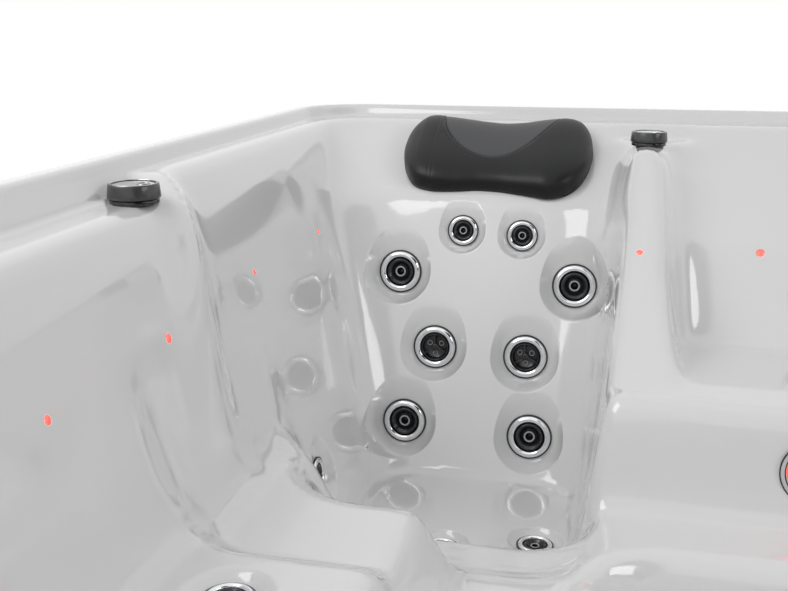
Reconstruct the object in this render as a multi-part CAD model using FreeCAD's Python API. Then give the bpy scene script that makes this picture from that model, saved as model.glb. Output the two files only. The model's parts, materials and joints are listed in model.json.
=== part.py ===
# A six-seat acrylic hot tub, seen in its photograph from above the front rim into the rear left seat.
# Millimetres. The origin is the middle of the base on the ground, +Z is up, +Y is the rear, +X is the right.
# The shell is one moulding whose well is a group of tapered pockets: a footwell, seats, shoulders and a deck.
# Every jet sits in an egg-shaped scoop whose floor is square to the jet's own axis.
import FreeCAD, Part
import math
import os

V = FreeCAD.Vector
X_AXIS, Y_AXIS, Z_AXIS = V(1, 0, 0), V(0, 1, 0), V(0, 0, 1)
ORIGIN = V(0, 0, 0)
os.makedirs("parts", exist_ok=True)

# Overall sizes and clearances
half_side = 1100.0          # the tub is 2200 square over the rim
rim_height = 900.0
wall = 8.0                  # acrylic with its glass-fibre backing
fit = 0.3                   # gap between pieces that seat on each other
run_gap = 0.5               # gap round a piece that turns or slides
shaft_gap = 0.05            # gap round a shaft in its bearing
overrun = 5.0               # how far a cutting tool runs past what it cuts
level_slack = 0.3           # how close to a level an edge counts as lying on it

# Rim, deck and skirt
rim_corner = 150.0
skirt_depth = 70.0
deck_drop = 24.0            # the deck lies this far under the rim's top
lip_width = 30.0
lip_taper = 10.0
deck_corner = 110.0
deck_z = rim_height - deck_drop

# Knobs and the ledges that they stand on
ledge_z = 850.0
ledge_share = ledge_z / rim_height
knob_r = 34.0
knob_height = 19.0
knob_lift = 1.5
collar_r = 32.0
collar_height = 7.0
knob_stem_r = 11.0
knob_taper = 2.0
knob_dish = 3.0

# Jets, sized by their ring
big_ring_r = 39.0
small_ring_r = 28.0
scoop_floor_share = 1.24    # all these are shares of the ring's radius
scoop_depth_share = 0.36
# An egg-shaped scoop: its depth, its upper end's place and round, and how they grow
egg_depth_share = 0.58
egg_end_share = 1.5
egg_round_share = 0.62
egg_spread_share = 0.655
egg_round_spread_share = 0.4
egg_rise_share = 0.345
egg_height_share = 1.3
flange_share = 1.06
bore_share = 0.92
body_bore_share = 0.86
socket_share = 0.76
ball_drop_share = 0.10
ring_top_share = 0.22
sleeve_share = 0.42
bowl_share = 0.58
bowl_foot_share = 0.28
snout_share = 0.27
nozzle_bore_share = 0.16
jet_length_share = 1.9
barb_r_share = 0.26
barb_out_share = 1.5
nut_r_share = 1.16
nut_height_share = 0.3
scoop_spread = math.radians(50)
flange_thick = 2.0

# Lights
led_r = 8.0
led_stem_r = 6.0
led_stand = 2.0
main_light_r = 41.0
main_light_flange = 47.0
main_light_depth = 60.0
main_light_stand = 4.0
main_lens_thick = 14.0

# Cabinet, frame and base
base_thick = 30.0
base_inset = 18.0
skirt_wall = 8.0
panel_thick = 12.0
panel_gap = 8.0             # between the cabinet's face and the skirt
cabinet_corner = 134.0
groove_count = 4
groove_deep = 2.0
groove_wide = 5.0
post_side = 38.0
rail_height = 50.0
screw_r = 6.0
screw_head = 3.0


def rounded_wire(x0, x1, y0, y1, z, r):
    """A closed rectangle with round corners, level at z."""
    k = r * math.sqrt(0.5)
    corners = [
        (x1 - r, y0 + r, k, -k, (x1 - r, y0), (x1, y0 + r)),
        (x1 - r, y1 - r, k, k, (x1, y1 - r), (x1 - r, y1)),
        (x0 + r, y1 - r, -k, k, (x0 + r, y1), (x0, y1 - r)),
        (x0 + r, y0 + r, -k, -k, (x0, y0 + r), (x0 + r, y0)),
    ]
    edges = []
    for i, (cx, cy, dx, dy, start, end) in enumerate(corners):
        last = corners[i - 1][5]
        edges.append(Part.LineSegment(V(*last, z), V(*start, z)).toShape())
        edges.append(Part.Arc(V(*start, z), V(cx + dx, cy + dy, z), V(*end, z)).toShape())
    return Part.Wire(edges)


def rounded_block(half_low, half_high, z0, z1, r_low, r_high):
    """A square block with round corners, from half_low at z0 to half_high at z1."""
    low = rounded_wire(-half_low, half_low, -half_low, half_low, z0, r_low)
    high = rounded_wire(-half_high, half_high, -half_high, half_high, z1, r_high)
    return Part.makeLoft([low, high], True, True)


def box(x0, x1, y0, y1, z0, z1):
    return Part.makeBox(x1 - x0, y1 - y0, z1 - z0, V(x0, y0, z0))


def tube(r_out, r_in, length, at=ORIGIN, axis=Z_AXIS):
    return Part.makeCylinder(r_out, length, at, axis).cut(Part.makeCylinder(r_in, length, at, axis))


def turned(points):
    """A solid of revolution about Z from its outline, points of (radius, height)."""
    corners = [V(r, 0, z) for r, z in points]
    face = Part.Face(Part.makePolygon(corners + corners[:1]))
    return face.revolve(ORIGIN, Z_AXIS, 360)


def placed(shape, at, axis):
    """A copy of a shape drawn along +Z, with its origin carried to a place and its Z to an axis."""
    out = shape.copy()
    out.Placement = FreeCAD.Placement(at, FreeCAD.Rotation(Z_AXIS, axis))
    return out


def mirrored(solid, across_x, across_y):
    """A copy of the solid, mirrored left to right and front to rear as asked."""
    if across_x:
        solid = solid.mirror(ORIGIN, X_AXIS)
    if across_y:
        solid = solid.mirror(ORIGIN, Y_AXIS)
    return solid


def save(name, *shapes):
    """Writes one named piece, a single solid or a group of separate ones."""
    shape = shapes[0] if len(shapes) == 1 else Part.makeCompound(list(shapes))
    shape.exportStep("parts/" + name + ".step")


# Footwell and seats. Each pocket is two rectangles (x0, x1, y0, y1, z), low and high, then its corner radii
# low and high and its floor's round: shares of half_side across and of rim_height up.
footwell_shares = (
    (-0.318, 0.318, -0.418, 0.114, 0.133),
    (-0.4, 0.4, -0.491, 0.182, 0.422),
    (0.082, 0.109, 0.045),
)
# The middle opening joins the seats over their front lips
middle_shares = (
    (-0.545, 0.545, -0.545, 0.291, 0.409),
    (-0.6, 0.6, -0.582, 0.314, 0.606),
    (0.082, 0.1, 0.036),
)
upper_middle_shares = (
    (-0.773, 0.773, -0.6, 0.364, 0.594),
    (-0.873, 0.873, -0.727, 0.738, 0.978),
    (0.082, 0.155, 0.022),
)
# A bucket seat in each rear corner and the front right one, with the lap before it
bucket_shares = (
    (-0.751, -0.402, 0.198, 0.534, 0.3),
    (-0.88, -0.371, 0.145, 0.727, 0.833),
    (0.08, 0.109, 0.045),
)
lap_shares = (
    (-0.7, -0.382, 0.1, 0.285, 0.4),
    (-0.8, -0.375, 0.018, 0.382, 0.63),
    (0.091, 0.118, 0.045),
)
# The shoulder that a headrest lies on, and the shelf at elbow height
shoulder_shares = (
    (-0.871, -0.375, 0.136, 0.716, 0.828),
    (-0.929, -0.364, 0.109, 0.932, 0.978),
    (0.068, 0.082, 0),
)
shelf_shares = (
    (-0.805, -0.545, -0.036, 0.473, 0.547),
    (-0.887, -0.473, 0.082, 0.636, 0.833),
    (0.073, 0.1, 0.027),
)
# A lounging seat down each side, with the ledge that its controls stand on
side_seat_shares = (
    (-0.8, -0.436, -0.582, -0.055, 0.556),
    (-0.895, -0.4, -0.655, 0.102, 0.944),
    (0.04, 0.027, 0.036),
)
side_ledge_shares = (
    (-0.962, -0.455, -0.673, 0.118, ledge_share),
    (-0.967, -0.455, -0.682, 0.127, 0.978),
    (0.027, 0.031, 0.007),
)
# A high seat between the rear buckets, and its shoulder
high_seat_shares = (
    (-0.282, 0.282, 0.227, 0.582, 0.6),
    (-0.3, 0.3, 0.2, 0.664, 0.778),
    (0.064, 0.073, 0.032),
)
high_shoulder_shares = (
    (-0.296, 0.296, 0.236, 0.659, 0.772),
    (-0.314, 0.314, 0.182, 0.918, 0.978),
    (0.071, 0.136, 0),
)
# The little ledge on each pillar beside a high seat, for an air control
pillar_ledge_shares = (
    (-0.391, -0.255, 0.718, 0.9, ledge_share),
    (-0.4, -0.245, 0.709, 0.909, 0.978),
    (0.027, 0.031, 0.007),
)
# Which corners have what, as (right, front)
bucket_corners = [(False, False), (True, False), (True, True)]
pillar_corners = [(False, False), (True, True)]


def sized(shares):
    """A pocket's two rectangles and its radii in real sizes."""
    rects = [[s * half_side for s in rect[:4]] + [rect[4] * rim_height] for rect in shares[:2]]
    return rects[0], rects[1], [s * half_side for s in shares[2]]


def side_at(shares, side, z):
    """Where a pocket's side (0 left, 1 right, 2 front, 3 rear) is at a height."""
    low, high, radii = sized(shares)
    return low[side] + (high[side] - low[side]) * (z - low[4]) / (high[4] - low[4])


def side_lean(shares, side):
    """How far a pocket's side leans back from upright."""
    low, high, radii = sized(shares)
    return math.atan2(abs(high[side] - low[side]), high[4] - low[4])


def pocket(shares, grow):
    """One tapered pocket of the well as a solid, grown outwards by grow."""
    low, high, (r_low, r_high, floor_round) = sized(shares)
    wires = []
    for (x0, x1, y0, y1, z), r, drop in ((low, r_low, grow), (high, r_high, 0)):
        wires.append(rounded_wire(x0 - grow, x1 + grow, y0 - grow, y1 + grow, z - drop, r + grow))
    solid = Part.makeLoft(wires, True, True)
    if floor_round:
        z_low = low[4] - grow
        edges = [e for e in solid.Edges if abs(e.BoundBox.ZMax - z_low) < level_slack]
        solid = solid.makeFillet(floor_round + grow, edges)
    return solid


def fused(shapes):
    """The shapes joined one after another."""
    whole = shapes[0]
    for shape in shapes[1:]:
        whole = whole.fuse(shape)
    return whole


def well(grow):
    """Every pocket of the well as one solid, grown outwards by grow."""
    corner = (bucket_shares, lap_shares, shoulder_shares, shelf_shares)
    corner = fused([pocket(shares, grow) for shares in corner])
    side = fused([pocket(shares, grow) for shares in (side_seat_shares, side_ledge_shares)])
    ledge = pocket(pillar_ledge_shares, grow)
    blocks = [pocket(shares, grow) for shares in (footwell_shares, middle_shares, upper_middle_shares)]
    blocks += [pocket(shares, grow) for shares in (high_seat_shares, high_shoulder_shares)]
    blocks += [mirrored(corner, right, front) for right, front in bucket_corners]
    blocks += [side, mirrored(side, True, False)]
    blocks += [mirrored(ledge, right, front) for right, front in pillar_corners]
    return fused(blocks)


# Where the jets are. On a bucket's backrest: (across share, height share, kind).
backrest_shares = [
    (-0.641, 0.766, "small"), (-0.538, 0.761, "small"),
    (-0.747, 0.678, "eyeball"), (-0.444, 0.668, "eyeball"),
    (-0.674, 0.534, "rotary"), (-0.518, 0.527, "rotary"),
    (-0.716, 0.388, "eyeball"), (-0.502, 0.378, "eyeball"),
]
backrest_aim = math.radians(9)
side_jet_share = (0.318, 0.402)                 # along and height on the bucket's outer wall
side_jet_aim = math.radians(5)
seat_jet_shares = [(-0.6, 0.307), (-0.468, 0.345)]
leg_jet_shares = [(-0.714, -0.2), (-0.7, -0.373)]
lounge_jet_shares = [(-0.66, 0.7), (-0.55, 0.7), (-0.66, 0.822), (-0.55, 0.822)]
high_jet_share = (0.068, 0.69)
high_jet_aim = math.radians(20)


def ring_r_of(kind):
    return small_ring_r if kind == "small" else big_ring_r


def sunk(kind, at, axis):
    """A jet's kind, the middle of its scoop's floor, and its axis."""
    depth_share = scoop_depth_share if axis == Z_AXIS else egg_depth_share
    return kind, at - axis * (depth_share * ring_r_of(kind)), axis


def backrest_jets():
    """The eight jets of the rear left seat's backrest, in the order of their table."""
    axis = V(0, -math.cos(backrest_aim), math.sin(backrest_aim))
    jets = []
    for across, up, kind in backrest_shares:
        z = up * rim_height
        jets.append(sunk(kind, V(across * half_side, side_at(bucket_shares, 3, z), z), axis))
    return jets


def low_jets():
    """The rear left seat's side jet and the two in its floor."""
    along, up = side_jet_share
    z = up * rim_height
    axis = V(math.cos(side_jet_aim), 0, math.sin(side_jet_aim))
    jets = [sunk("small", V(side_at(bucket_shares, 0, z), along * half_side, z), axis)]
    floor_z = sized(bucket_shares)[0][4]
    jets += [sunk("small", V(x * half_side, y * half_side, floor_z), Z_AXIS) for x, y in seat_jet_shares]
    return jets


def other_jets():
    """The jets of every other seat."""
    jets = []
    for right, front in bucket_corners[1:]:
        for kind, at, axis in backrest_jets() + low_jets():
            sx, sy = (-1 if right else 1), (-1 if front else 1)
            jets.append((kind, V(at.x * sx, at.y * sy, at.z), V(axis.x * sx, axis.y * sy, axis.z)))
    seat_z = sized(side_seat_shares)[0][4]
    jets += [sunk("small", V(x * half_side, y * half_side, seat_z), Z_AXIS) for x, y in leg_jet_shares]
    axis = V(0, math.cos(backrest_aim), math.sin(backrest_aim))
    for x, up in lounge_jet_shares:
        z = up * rim_height
        jets.append(sunk("small", V(x * half_side, side_at(upper_middle_shares, 2, z), z), axis))
    across, up = high_jet_share
    z = up * rim_height
    for side in (-1, 1):
        for end in (-1, 1):
            axis = V(0, -end * math.cos(high_jet_aim), math.sin(high_jet_aim))
            y = side_at(high_seat_shares, 3, z) if end > 0 else side_at(upper_middle_shares, 2, z)
            jets.append(sunk("small", V(side * across * half_side, y, z), axis))
    return jets


ALL_JETS = backrest_jets() + low_jets() + other_jets()


def egg_wire(r, grow, up):
    """The egg's outline at a height above its floor: a large round, and a small one up the wall."""
    z = up - (grow if not up else 0)
    big = (scoop_floor_share * r + egg_spread_share * up) + grow
    small = (egg_round_share * r + egg_round_spread_share * up) + grow
    low_y = egg_rise_share * up
    high_y = egg_end_share * r + egg_rise_share * up
    turn = math.asin((big - small) / (high_y - low_y))
    low_x, low_side = big * math.cos(turn), low_y + big * math.sin(turn)
    high_x, high_side = small * math.cos(turn), high_y + small * math.sin(turn)
    left_low, left_high = V(-low_x, low_side, z), V(-high_x, high_side, z)
    right_low, right_high = V(low_x, low_side, z), V(high_x, high_side, z)
    return Part.Wire([
        Part.Arc(left_low, V(0, low_y - big, z), right_low).toShape(),
        Part.LineSegment(right_low, right_high).toShape(),
        Part.Arc(right_high, V(0, high_y + small, z), left_high).toShape(),
        Part.LineSegment(left_high, left_low).toShape(),
    ])


def scoop(kind, at, axis, grow):
    """A jet's recess in its place, widening outwards from its floor, grown outwards by grow."""
    r = ring_r_of(kind)
    if axis == Z_AXIS:
        floor_r = scoop_floor_share * r + grow
        flare = scoop_depth_share * r * 2
        mouth_r = floor_r + flare * math.tan(scoop_spread) * scoop_depth_share * 2
        cone = Part.makeCone(floor_r, mouth_r, flare + grow, V(0, 0, -grow))
        return placed(cone.fuse(Part.makeCylinder(mouth_r, flare, V(0, 0, flare))), at, axis)
    egg = Part.makeLoft([egg_wire(r, grow, 0), egg_wire(r, grow, egg_height_share * r)], True, True)
    side = Z_AXIS.cross(axis).normalize()
    egg.Placement = FreeCAD.Placement(at, FreeCAD.Rotation(side, axis.cross(side), axis, "ZXY"))
    return egg


# Lights: places on the walls of the rear left seat, its neighbours and their mirror images
led_z_share = 0.78
panel_led_shares = [-0.251, -0.006]             # along the outer wall of the lounging seat
shelf_led_share = 0.304
corner_led_share = 0.593
pillar_led_share = -0.345
high_led_share = -0.157
main_light_share = (-0.11, 0.5)


def leds():
    """Each light's place on its wall and the way it faces, those beside the high seat last."""
    z = led_z_share * rim_height
    places = []
    lean = side_lean(side_seat_shares, 0)
    for along in panel_led_shares:
        at = V(side_at(side_seat_shares, 0, z), along * half_side, z)
        places.append((at, V(math.cos(lean), 0, math.sin(lean))))
    lean = side_lean(shelf_shares, 0)
    at = V(side_at(shelf_shares, 0, z), shelf_led_share * half_side, z)
    places.append((at, V(math.cos(lean), 0, math.sin(lean))))
    lean = side_lean(bucket_shares, 0)
    at = V(side_at(bucket_shares, 0, z), corner_led_share * half_side, z)
    places.append((at, V(math.cos(lean), 0, math.sin(lean))))
    lean = side_lean(upper_middle_shares, 3)
    at = V(pillar_led_share * half_side, side_at(upper_middle_shares, 3, z), z)
    places.append((at, V(0, -math.cos(lean), math.sin(lean))))
    lean = side_lean(high_seat_shares, 3)
    top = sized(high_seat_shares)[1][4] - 2 * led_r
    at = V(high_led_share * half_side, side_at(high_seat_shares, 3, top), top)
    places.append((at, V(0, -math.cos(lean), math.sin(lean))))
    return places


def all_leds():
    """The lights of every corner: fewer where a corner has no lounging seat or high seat beside it."""
    places = []
    for right, front in bucket_corners:
        sx, sy = (-1 if right else 1), (-1 if front else 1)
        first, last = (len(panel_led_shares), -2) if front else (int(right), None)
        for at, axis in leds()[first:last]:
            places.append((V(at.x * sx, at.y * sy, at.z), V(axis.x * sx, axis.y * sy, axis.z)))
    return places


# The filter's bay in the front left corner of the deck: (x0, x1, y0, y1) and its floor
bay_shares = (-0.86, -0.55, -0.935, -0.765)
bay_floor_share = 0.6
bay_round = 30.0
# Suction openings in the footwell's left and right walls, and the drain in its floor
suction_share = (-0.15, 0.3)
suction_r = 55.0
suction_neck_r = 30.0
drain_r = 45.0
drain_neck_r = 20.0


def bay(grow):
    x0, x1, y0, y1 = [s * half_side for s in bay_shares]
    z = bay_floor_share * rim_height
    wires = []
    for z_at in (z - grow, rim_height + overrun if not grow else deck_z):
        wires.append(rounded_wire(x0 - grow, x1 + grow, y0 - grow, y1 + grow, z_at, bay_round + grow))
    return Part.makeLoft(wires, True, True)


def suction_place(side):
    """The middle of a suction opening on the footwell's wall, and the way that it faces."""
    along, up = suction_share
    z = up * rim_height
    lean = side_lean(footwell_shares, 0)
    at = V(side * abs(side_at(footwell_shares, 0, z)), along * half_side, z)
    return at, V(-side * math.cos(lean), 0, math.sin(lean))


def main_light_place():
    across, up = main_light_share
    z = up * rim_height
    lean = side_lean(middle_shares, 3)
    at = V(across * half_side, side_at(middle_shares, 3, z), z)
    return at, V(0, -math.cos(lean), math.sin(lean))


# Knobs: each stands on its ledge
left_knob_share = (-0.9235, 0.068)
pillar_knob_share = (-0.335, 0.79)
KNOBS = {
    "left_knob": V(left_knob_share[0] * half_side, left_knob_share[1] * half_side, ledge_z),
    "rear_knob": V(pillar_knob_share[0] * half_side, pillar_knob_share[1] * half_side, ledge_z),
    "front_knob": V(-pillar_knob_share[0] * half_side, -pillar_knob_share[1] * half_side, ledge_z),
}
valve_r = 17.0
valve_height = 42.0
valve_stub_r = 6.0
valve_stub = 16.0

# Headrest pillows: each lies on a shoulder, drawn as sections across it at stations along its width
pillow_x_share = -0.6045
pillow_rise = 8.0           # up the shoulder from its crease
pillow_wide = 360.0
pillow_deep = 206.0
pillow_thick = 50.0
# (station, near edge, far edge, thickness), as shares of half the width, the depth and the thickness
pillow_section_shares = [
    (-1.0, 0.27, 0.5, 0.3), (-0.93, 0.13, 0.7, 0.66), (-0.78, 0.045, 0.93, 0.9), (-0.45, 0.0, 0.99, 0.97),
    (0.0, 0.02, 0.97, 0.92),
    (0.45, 0.0, 0.99, 0.97), (0.78, 0.045, 0.93, 0.9), (0.93, 0.13, 0.7, 0.66), (1.0, 0.27, 0.5, 0.3),
]
pillow_end_share = 0.12     # how far each end's round reaches along the depth
pillow_end_rise_share = 0.62
pillow_bulge_share = 0.05
peg_r = 5.0
peg_length = 16.0
peg_spread_share = 0.5
peg_up_share = 0.5

# Behind the walls
gasket_thick = 1.0
body_end = 3.0


def apart(shapes):
    """Shapes in three groups, so that neighbours on a backrest fall in different ones."""
    return [Part.makeCompound(shapes[i::3]) for i in range(3)]


def cutters():
    """What opens the shell besides the well: the deck, the bay, the scoops and the jets' bores."""
    deck_low = half_side - lip_width - lip_taper
    deck_high = half_side - lip_width
    deck = rounded_block(deck_low, deck_high, deck_z, rim_height + overrun, deck_corner, deck_corner)
    scoops = [scoop(kind, at, axis, 0) for kind, at, axis in ALL_JETS]
    bores = [bored(bore_share * ring_r_of(kind), at, axis) for kind, at, axis in ALL_JETS]
    return [deck, bay(0)] + apart(scoops) + [Part.makeCompound(bores)]


def bored(r, at, axis):
    """A cutting cylinder that runs through the wall at a place."""
    reach = wall + overrun
    return Part.makeCylinder(r, 2 * reach, at - axis * reach, axis)


def small_bores():
    """Holes for the lights, suctions, drain, knobs and pegs."""
    shapes = []
    for at, axis in all_leds():
        shapes.append(bored(led_stem_r + fit, at, axis))
    at, axis = main_light_place()
    shapes.append(bored(main_light_r + fit, at, axis))
    for side in (-1, 1):
        shapes.append(bored(suction_neck_r + fit, *suction_place(side)))
    floor = sized(footwell_shares)[0]
    shapes.append(bored(drain_neck_r + fit, V(0, floor[2] / 2, floor[4]), Z_AXIS))
    for at in KNOBS.values():
        shapes.append(bored(knob_stem_r + run_gap, at, Z_AXIS))
    for right, front in bucket_corners:
        for at, axis in peg_places():
            shapes.append(mirrored(bored(peg_r + fit, at, axis), right, front))
    return shapes


def shoulder_frame():
    """The rear left headrest's lower middle on its shoulder, the way up the slope and its normal."""
    low, high, radii = sized(shoulder_shares)
    slope = math.atan2(high[4] - low[4], high[3] - low[3])
    up = V(0, math.cos(slope), math.sin(slope))
    out = V(0, -math.sin(slope), math.cos(slope))
    return V(pillow_x_share * half_side, low[3], low[4]) + up * pillow_rise, up, out


def peg_places():
    foot, up, out = shoulder_frame()
    spread = peg_spread_share * pillow_wide / 2
    return [(foot + X_AXIS * (side * spread) + up * (peg_up_share * pillow_deep), out) for side in (-1, 1)]


def make_shell():
    """The acrylic moulding with its deck, lip and skirt."""
    slab = rounded_block(half_side, half_side, rim_height - skirt_depth, rim_height, rim_corner, rim_corner)
    under_side = half_side - skirt_wall
    under_top = deck_z - wall
    under_corner = rim_corner - skirt_wall
    slab = slab.cut(rounded_block(under_side, under_side, rim_height - skirt_depth - overrun, under_top,
                                  under_corner, under_corner))
    backs = [scoop(kind, at, axis, wall) for kind, at, axis in ALL_JETS]
    shell = fused([slab, well(wall), bay(wall)] + apart(backs))
    for cutter in [well(0)] + cutters() + [Part.makeCompound(small_bores())]:
        shell = shell.cut(cutter)
    return shell


# Jets, drawn with the scoop's floor at zero and the jet's axis along +Z
def ring_base_z():
    return gasket_thick + flange_thick + run_gap


def jet_gasket(r):
    return tube(flange_share * r, bore_share * r, gasket_thick)


def jet_body(r):
    """The flanged tube through the wall, closed behind, with a water barb and an air barb."""
    length = jet_length_share * r
    r_in = body_bore_share * r
    barb_r = barb_r_share * r
    body = Part.makeCylinder(bore_share * r - fit, length + gasket_thick, V(0, 0, -length))
    body = body.fuse(Part.makeCylinder(flange_share * r, flange_thick, V(0, 0, gasket_thick)))
    barb_z = barb_r + body_end - length
    barb = Part.makeCylinder(barb_r, 2 * barb_out_share * r, V(-barb_out_share * r, 0, barb_z), X_AXIS)
    hole = Part.makeCylinder(barb_r / 2, 2 * barb_out_share * r, V(-barb_out_share * r, 0, barb_z), X_AXIS)
    bore = Part.makeCylinder(r_in, length + overrun, V(0, 0, body_end - length))
    return body.fuse(barb).cut(bore).cut(hole)


def jet_nut(r):
    """The hexagonal nut that clamps the body behind the wall."""
    height = nut_height_share * r
    across = nut_r_share * r
    angles = [math.radians(a) for a in range(0, 361, 60)]
    points = [V(across * math.cos(a), across * math.sin(a), -wall - height) for a in angles]
    prism = Part.Face(Part.makePolygon(points)).extrude(V(0, 0, height))
    return prism.cut(Part.makeCylinder(bore_share * r, 2 * height, V(0, 0, -wall - 2 * height)))


def socket_ball(r, gap):
    return Part.makeSphere(socket_share * r - gap, V(0, 0, -ball_drop_share * r))


ring_bore_share = 0.6
ring_edge_share = 0.93


def jet_ring(r):
    """The chromed ring with its sleeve and the ball's socket."""
    base = ring_base_z()
    top = ring_top_share * r
    sleeve_r = body_bore_share * r - run_gap
    foot = -sleeve_share * r
    inner = ring_bore_share * r
    outline = [(inner, foot), (sleeve_r, foot), (sleeve_r, base), (r, base), (r, (base + top) / 2),
               (ring_edge_share * r, top), (inner, top)]
    return turned(outline).cut(socket_ball(r, 0))


zone_back_share = 0.48
zone_front_share = 0.16
bowl_floor_share = 0.14
snout_top_share = 0.06
arm_wide_share = 0.08
arm_reach_share = 0.64
hub_share = 0.14
rotor_bowl_share = 0.62
rotor_foot_share = 0.54
port_place_share = 0.33
port_share = 0.1


def ball_zone(r):
    """The slice of the ball that the nozzle is made from."""
    height = (zone_back_share + zone_front_share) * r
    zone = Part.makeCylinder(r, height, V(0, 0, -zone_back_share * r))
    return socket_ball(r, run_gap).common(zone)


def bowl(r, foot_share, mouth_share):
    depth = (bowl_floor_share + zone_front_share) * r
    return Part.makeCone(foot_share * r, mouth_share * r, depth, V(0, 0, -bowl_floor_share * r))


def eyeball_nozzle(r):
    """A ball with a dished face and a raised outlet in the middle."""
    snout_height = (bowl_floor_share + snout_top_share) * r
    body = ball_zone(r).cut(bowl(r, bowl_foot_share, bowl_share))
    body = body.fuse(Part.makeCylinder(snout_share * r, snout_height, V(0, 0, -bowl_floor_share * r)))
    return body.cut(Part.makeCylinder(nozzle_bore_share * r, 2 * r, V(0, 0, -r)))


def rotary_nozzle(r):
    """A dished rotor with a hub, three arms set off its middle, and a slanted port between each two."""
    body = ball_zone(r).cut(bowl(r, rotor_foot_share, rotor_bowl_share))
    low = -bowl_floor_share * r
    high = snout_top_share * r
    body = body.fuse(Part.makeCylinder(hub_share * r, high - low, V(0, 0, low)))
    for turn in (90, 210, 330):
        arm = Part.makeBox(arm_reach_share * r, arm_wide_share * r, high - low, V(0, 0, low))
        arm.rotate(ORIGIN, Z_AXIS, turn)
        body = body.fuse(arm)
    body = body.common(socket_ball(r, run_gap))
    for turn in (30, 150, 270):
        port = Part.makeCylinder(port_share * r, 2 * r, V(port_place_share * r, 0, -r))
        port.rotate(ORIGIN, Z_AXIS, turn)
        body = body.cut(port)
    return body


def nozzle(kind):
    return rotary_nozzle(big_ring_r) if kind == "rotary" else eyeball_nozzle(ring_r_of(kind))


def save_jets():
    """Every jet's pieces: the photographed backrest's rings and nozzles singly, the rest in groups."""
    shapes = {kind: (jet_body(ring_r_of(kind)), jet_nut(ring_r_of(kind)), jet_gasket(ring_r_of(kind)),
                     jet_ring(ring_r_of(kind)), nozzle(kind)) for kind in ("small", "eyeball", "rotary")}
    for part_index, name in enumerate(("jet_bodies", "jet_nuts", "jet_gaskets")):
        save(name, *[placed(shapes[kind][part_index], at, axis) for kind, at, axis in ALL_JETS])
    front = backrest_jets()
    counts = {}
    still_nozzles = []
    for kind, at, axis in front:
        counts[kind] = counts.get(kind, 0) + 1
        save(f"{kind}_ring_{counts[kind]}", placed(shapes[kind][3], at, axis))
        if kind == "small":
            still_nozzles.append(placed(shapes[kind][4], at, axis))
        else:
            save(f"{kind}_nozzle_{counts[kind]}", placed(shapes[kind][4], at, axis))
    rest = low_jets() + other_jets()
    save("jet_rings", *[placed(shapes[kind][3], at, axis) for kind, at, axis in rest])
    save("jet_nozzles", *still_nozzles, *[placed(shapes[kind][4], at, axis) for kind, at, axis in rest])


# Lights
lens_back = 12.0
housing_wall = 3.0


def save_lights():
    crown_r = 3 * led_r
    crown = Part.makeSphere(crown_r, V(0, 0, led_stand - crown_r))
    lens = Part.makeCylinder(led_r, led_stand).common(crown)
    lens = lens.fuse(Part.makeCylinder(led_stem_r, lens_back, V(0, 0, -lens_back)))
    save("led_lenses", *[placed(lens, at, axis) for at, axis in all_leds()])
    at, axis = main_light_place()
    cup = Part.makeCylinder(main_light_r, main_light_depth, V(0, 0, -main_light_depth))
    cup = cup.fuse(Part.makeCylinder(main_light_flange, housing_wall, ORIGIN))
    inner_r = main_light_r - housing_wall
    seat_r = inner_r - housing_wall
    cup = cup.cut(Part.makeCylinder(seat_r, main_light_depth, V(0, 0, housing_wall - main_light_depth)))
    cup = cup.cut(Part.makeCylinder(inner_r, main_light_depth, V(0, 0, -main_lens_thick)))
    save("main_light_housing", placed(cup, at, axis))
    crown_r = 2 * main_light_r
    crown = Part.makeSphere(crown_r, V(0, 0, main_light_stand - crown_r))
    lens = Part.makeCylinder(inner_r - fit, main_lens_thick + main_light_stand, V(0, 0, -main_lens_thick))
    save("main_light_lens", placed(lens.common(crown), at, axis))


# Knobs, their collars and the air valves under them
knob_base = collar_height + run_gap
knob_edge = 2.5
knob_dish_r_share = 0.82


def save_knobs():
    top = knob_base + knob_height
    rim_r = knob_r - knob_taper
    dish_r = knob_dish_r_share * knob_r
    outline = [(0, -valve_height / 2), (knob_stem_r, -valve_height / 2), (knob_stem_r, knob_base),
               (knob_r - knob_lift, knob_base), (knob_r, knob_base + knob_lift), (rim_r, top - knob_edge),
               (rim_r - knob_edge, top), (dish_r, top), (dish_r - knob_dish, top - knob_dish),
               (0, top - knob_dish)]
    knob = turned(outline)
    collar = tube(collar_r, knob_stem_r + shaft_gap, collar_height)
    valve = Part.makeCylinder(valve_r, valve_height, V(0, 0, -wall - valve_height))
    valve = valve.cut(Part.makeCylinder(knob_stem_r + shaft_gap, valve_height / 2 + run_gap,
                                        V(0, 0, -wall - valve_height / 2)))
    stub_z = -wall - valve_height + valve_stub_r + body_end
    stub = Part.makeCylinder(valve_stub_r, valve_stub, V(0, 0, stub_z - valve_height / 2), Z_AXIS)
    valve = valve.fuse(stub)
    for name, at in KNOBS.items():
        save(name, placed(knob, at, Z_AXIS))
    save("knob_collars", *[placed(collar, at, Z_AXIS) for at in KNOBS.values()])
    save("air_valve_bodies", *[placed(valve, at, Z_AXIS) for at in KNOBS.values()])


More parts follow.
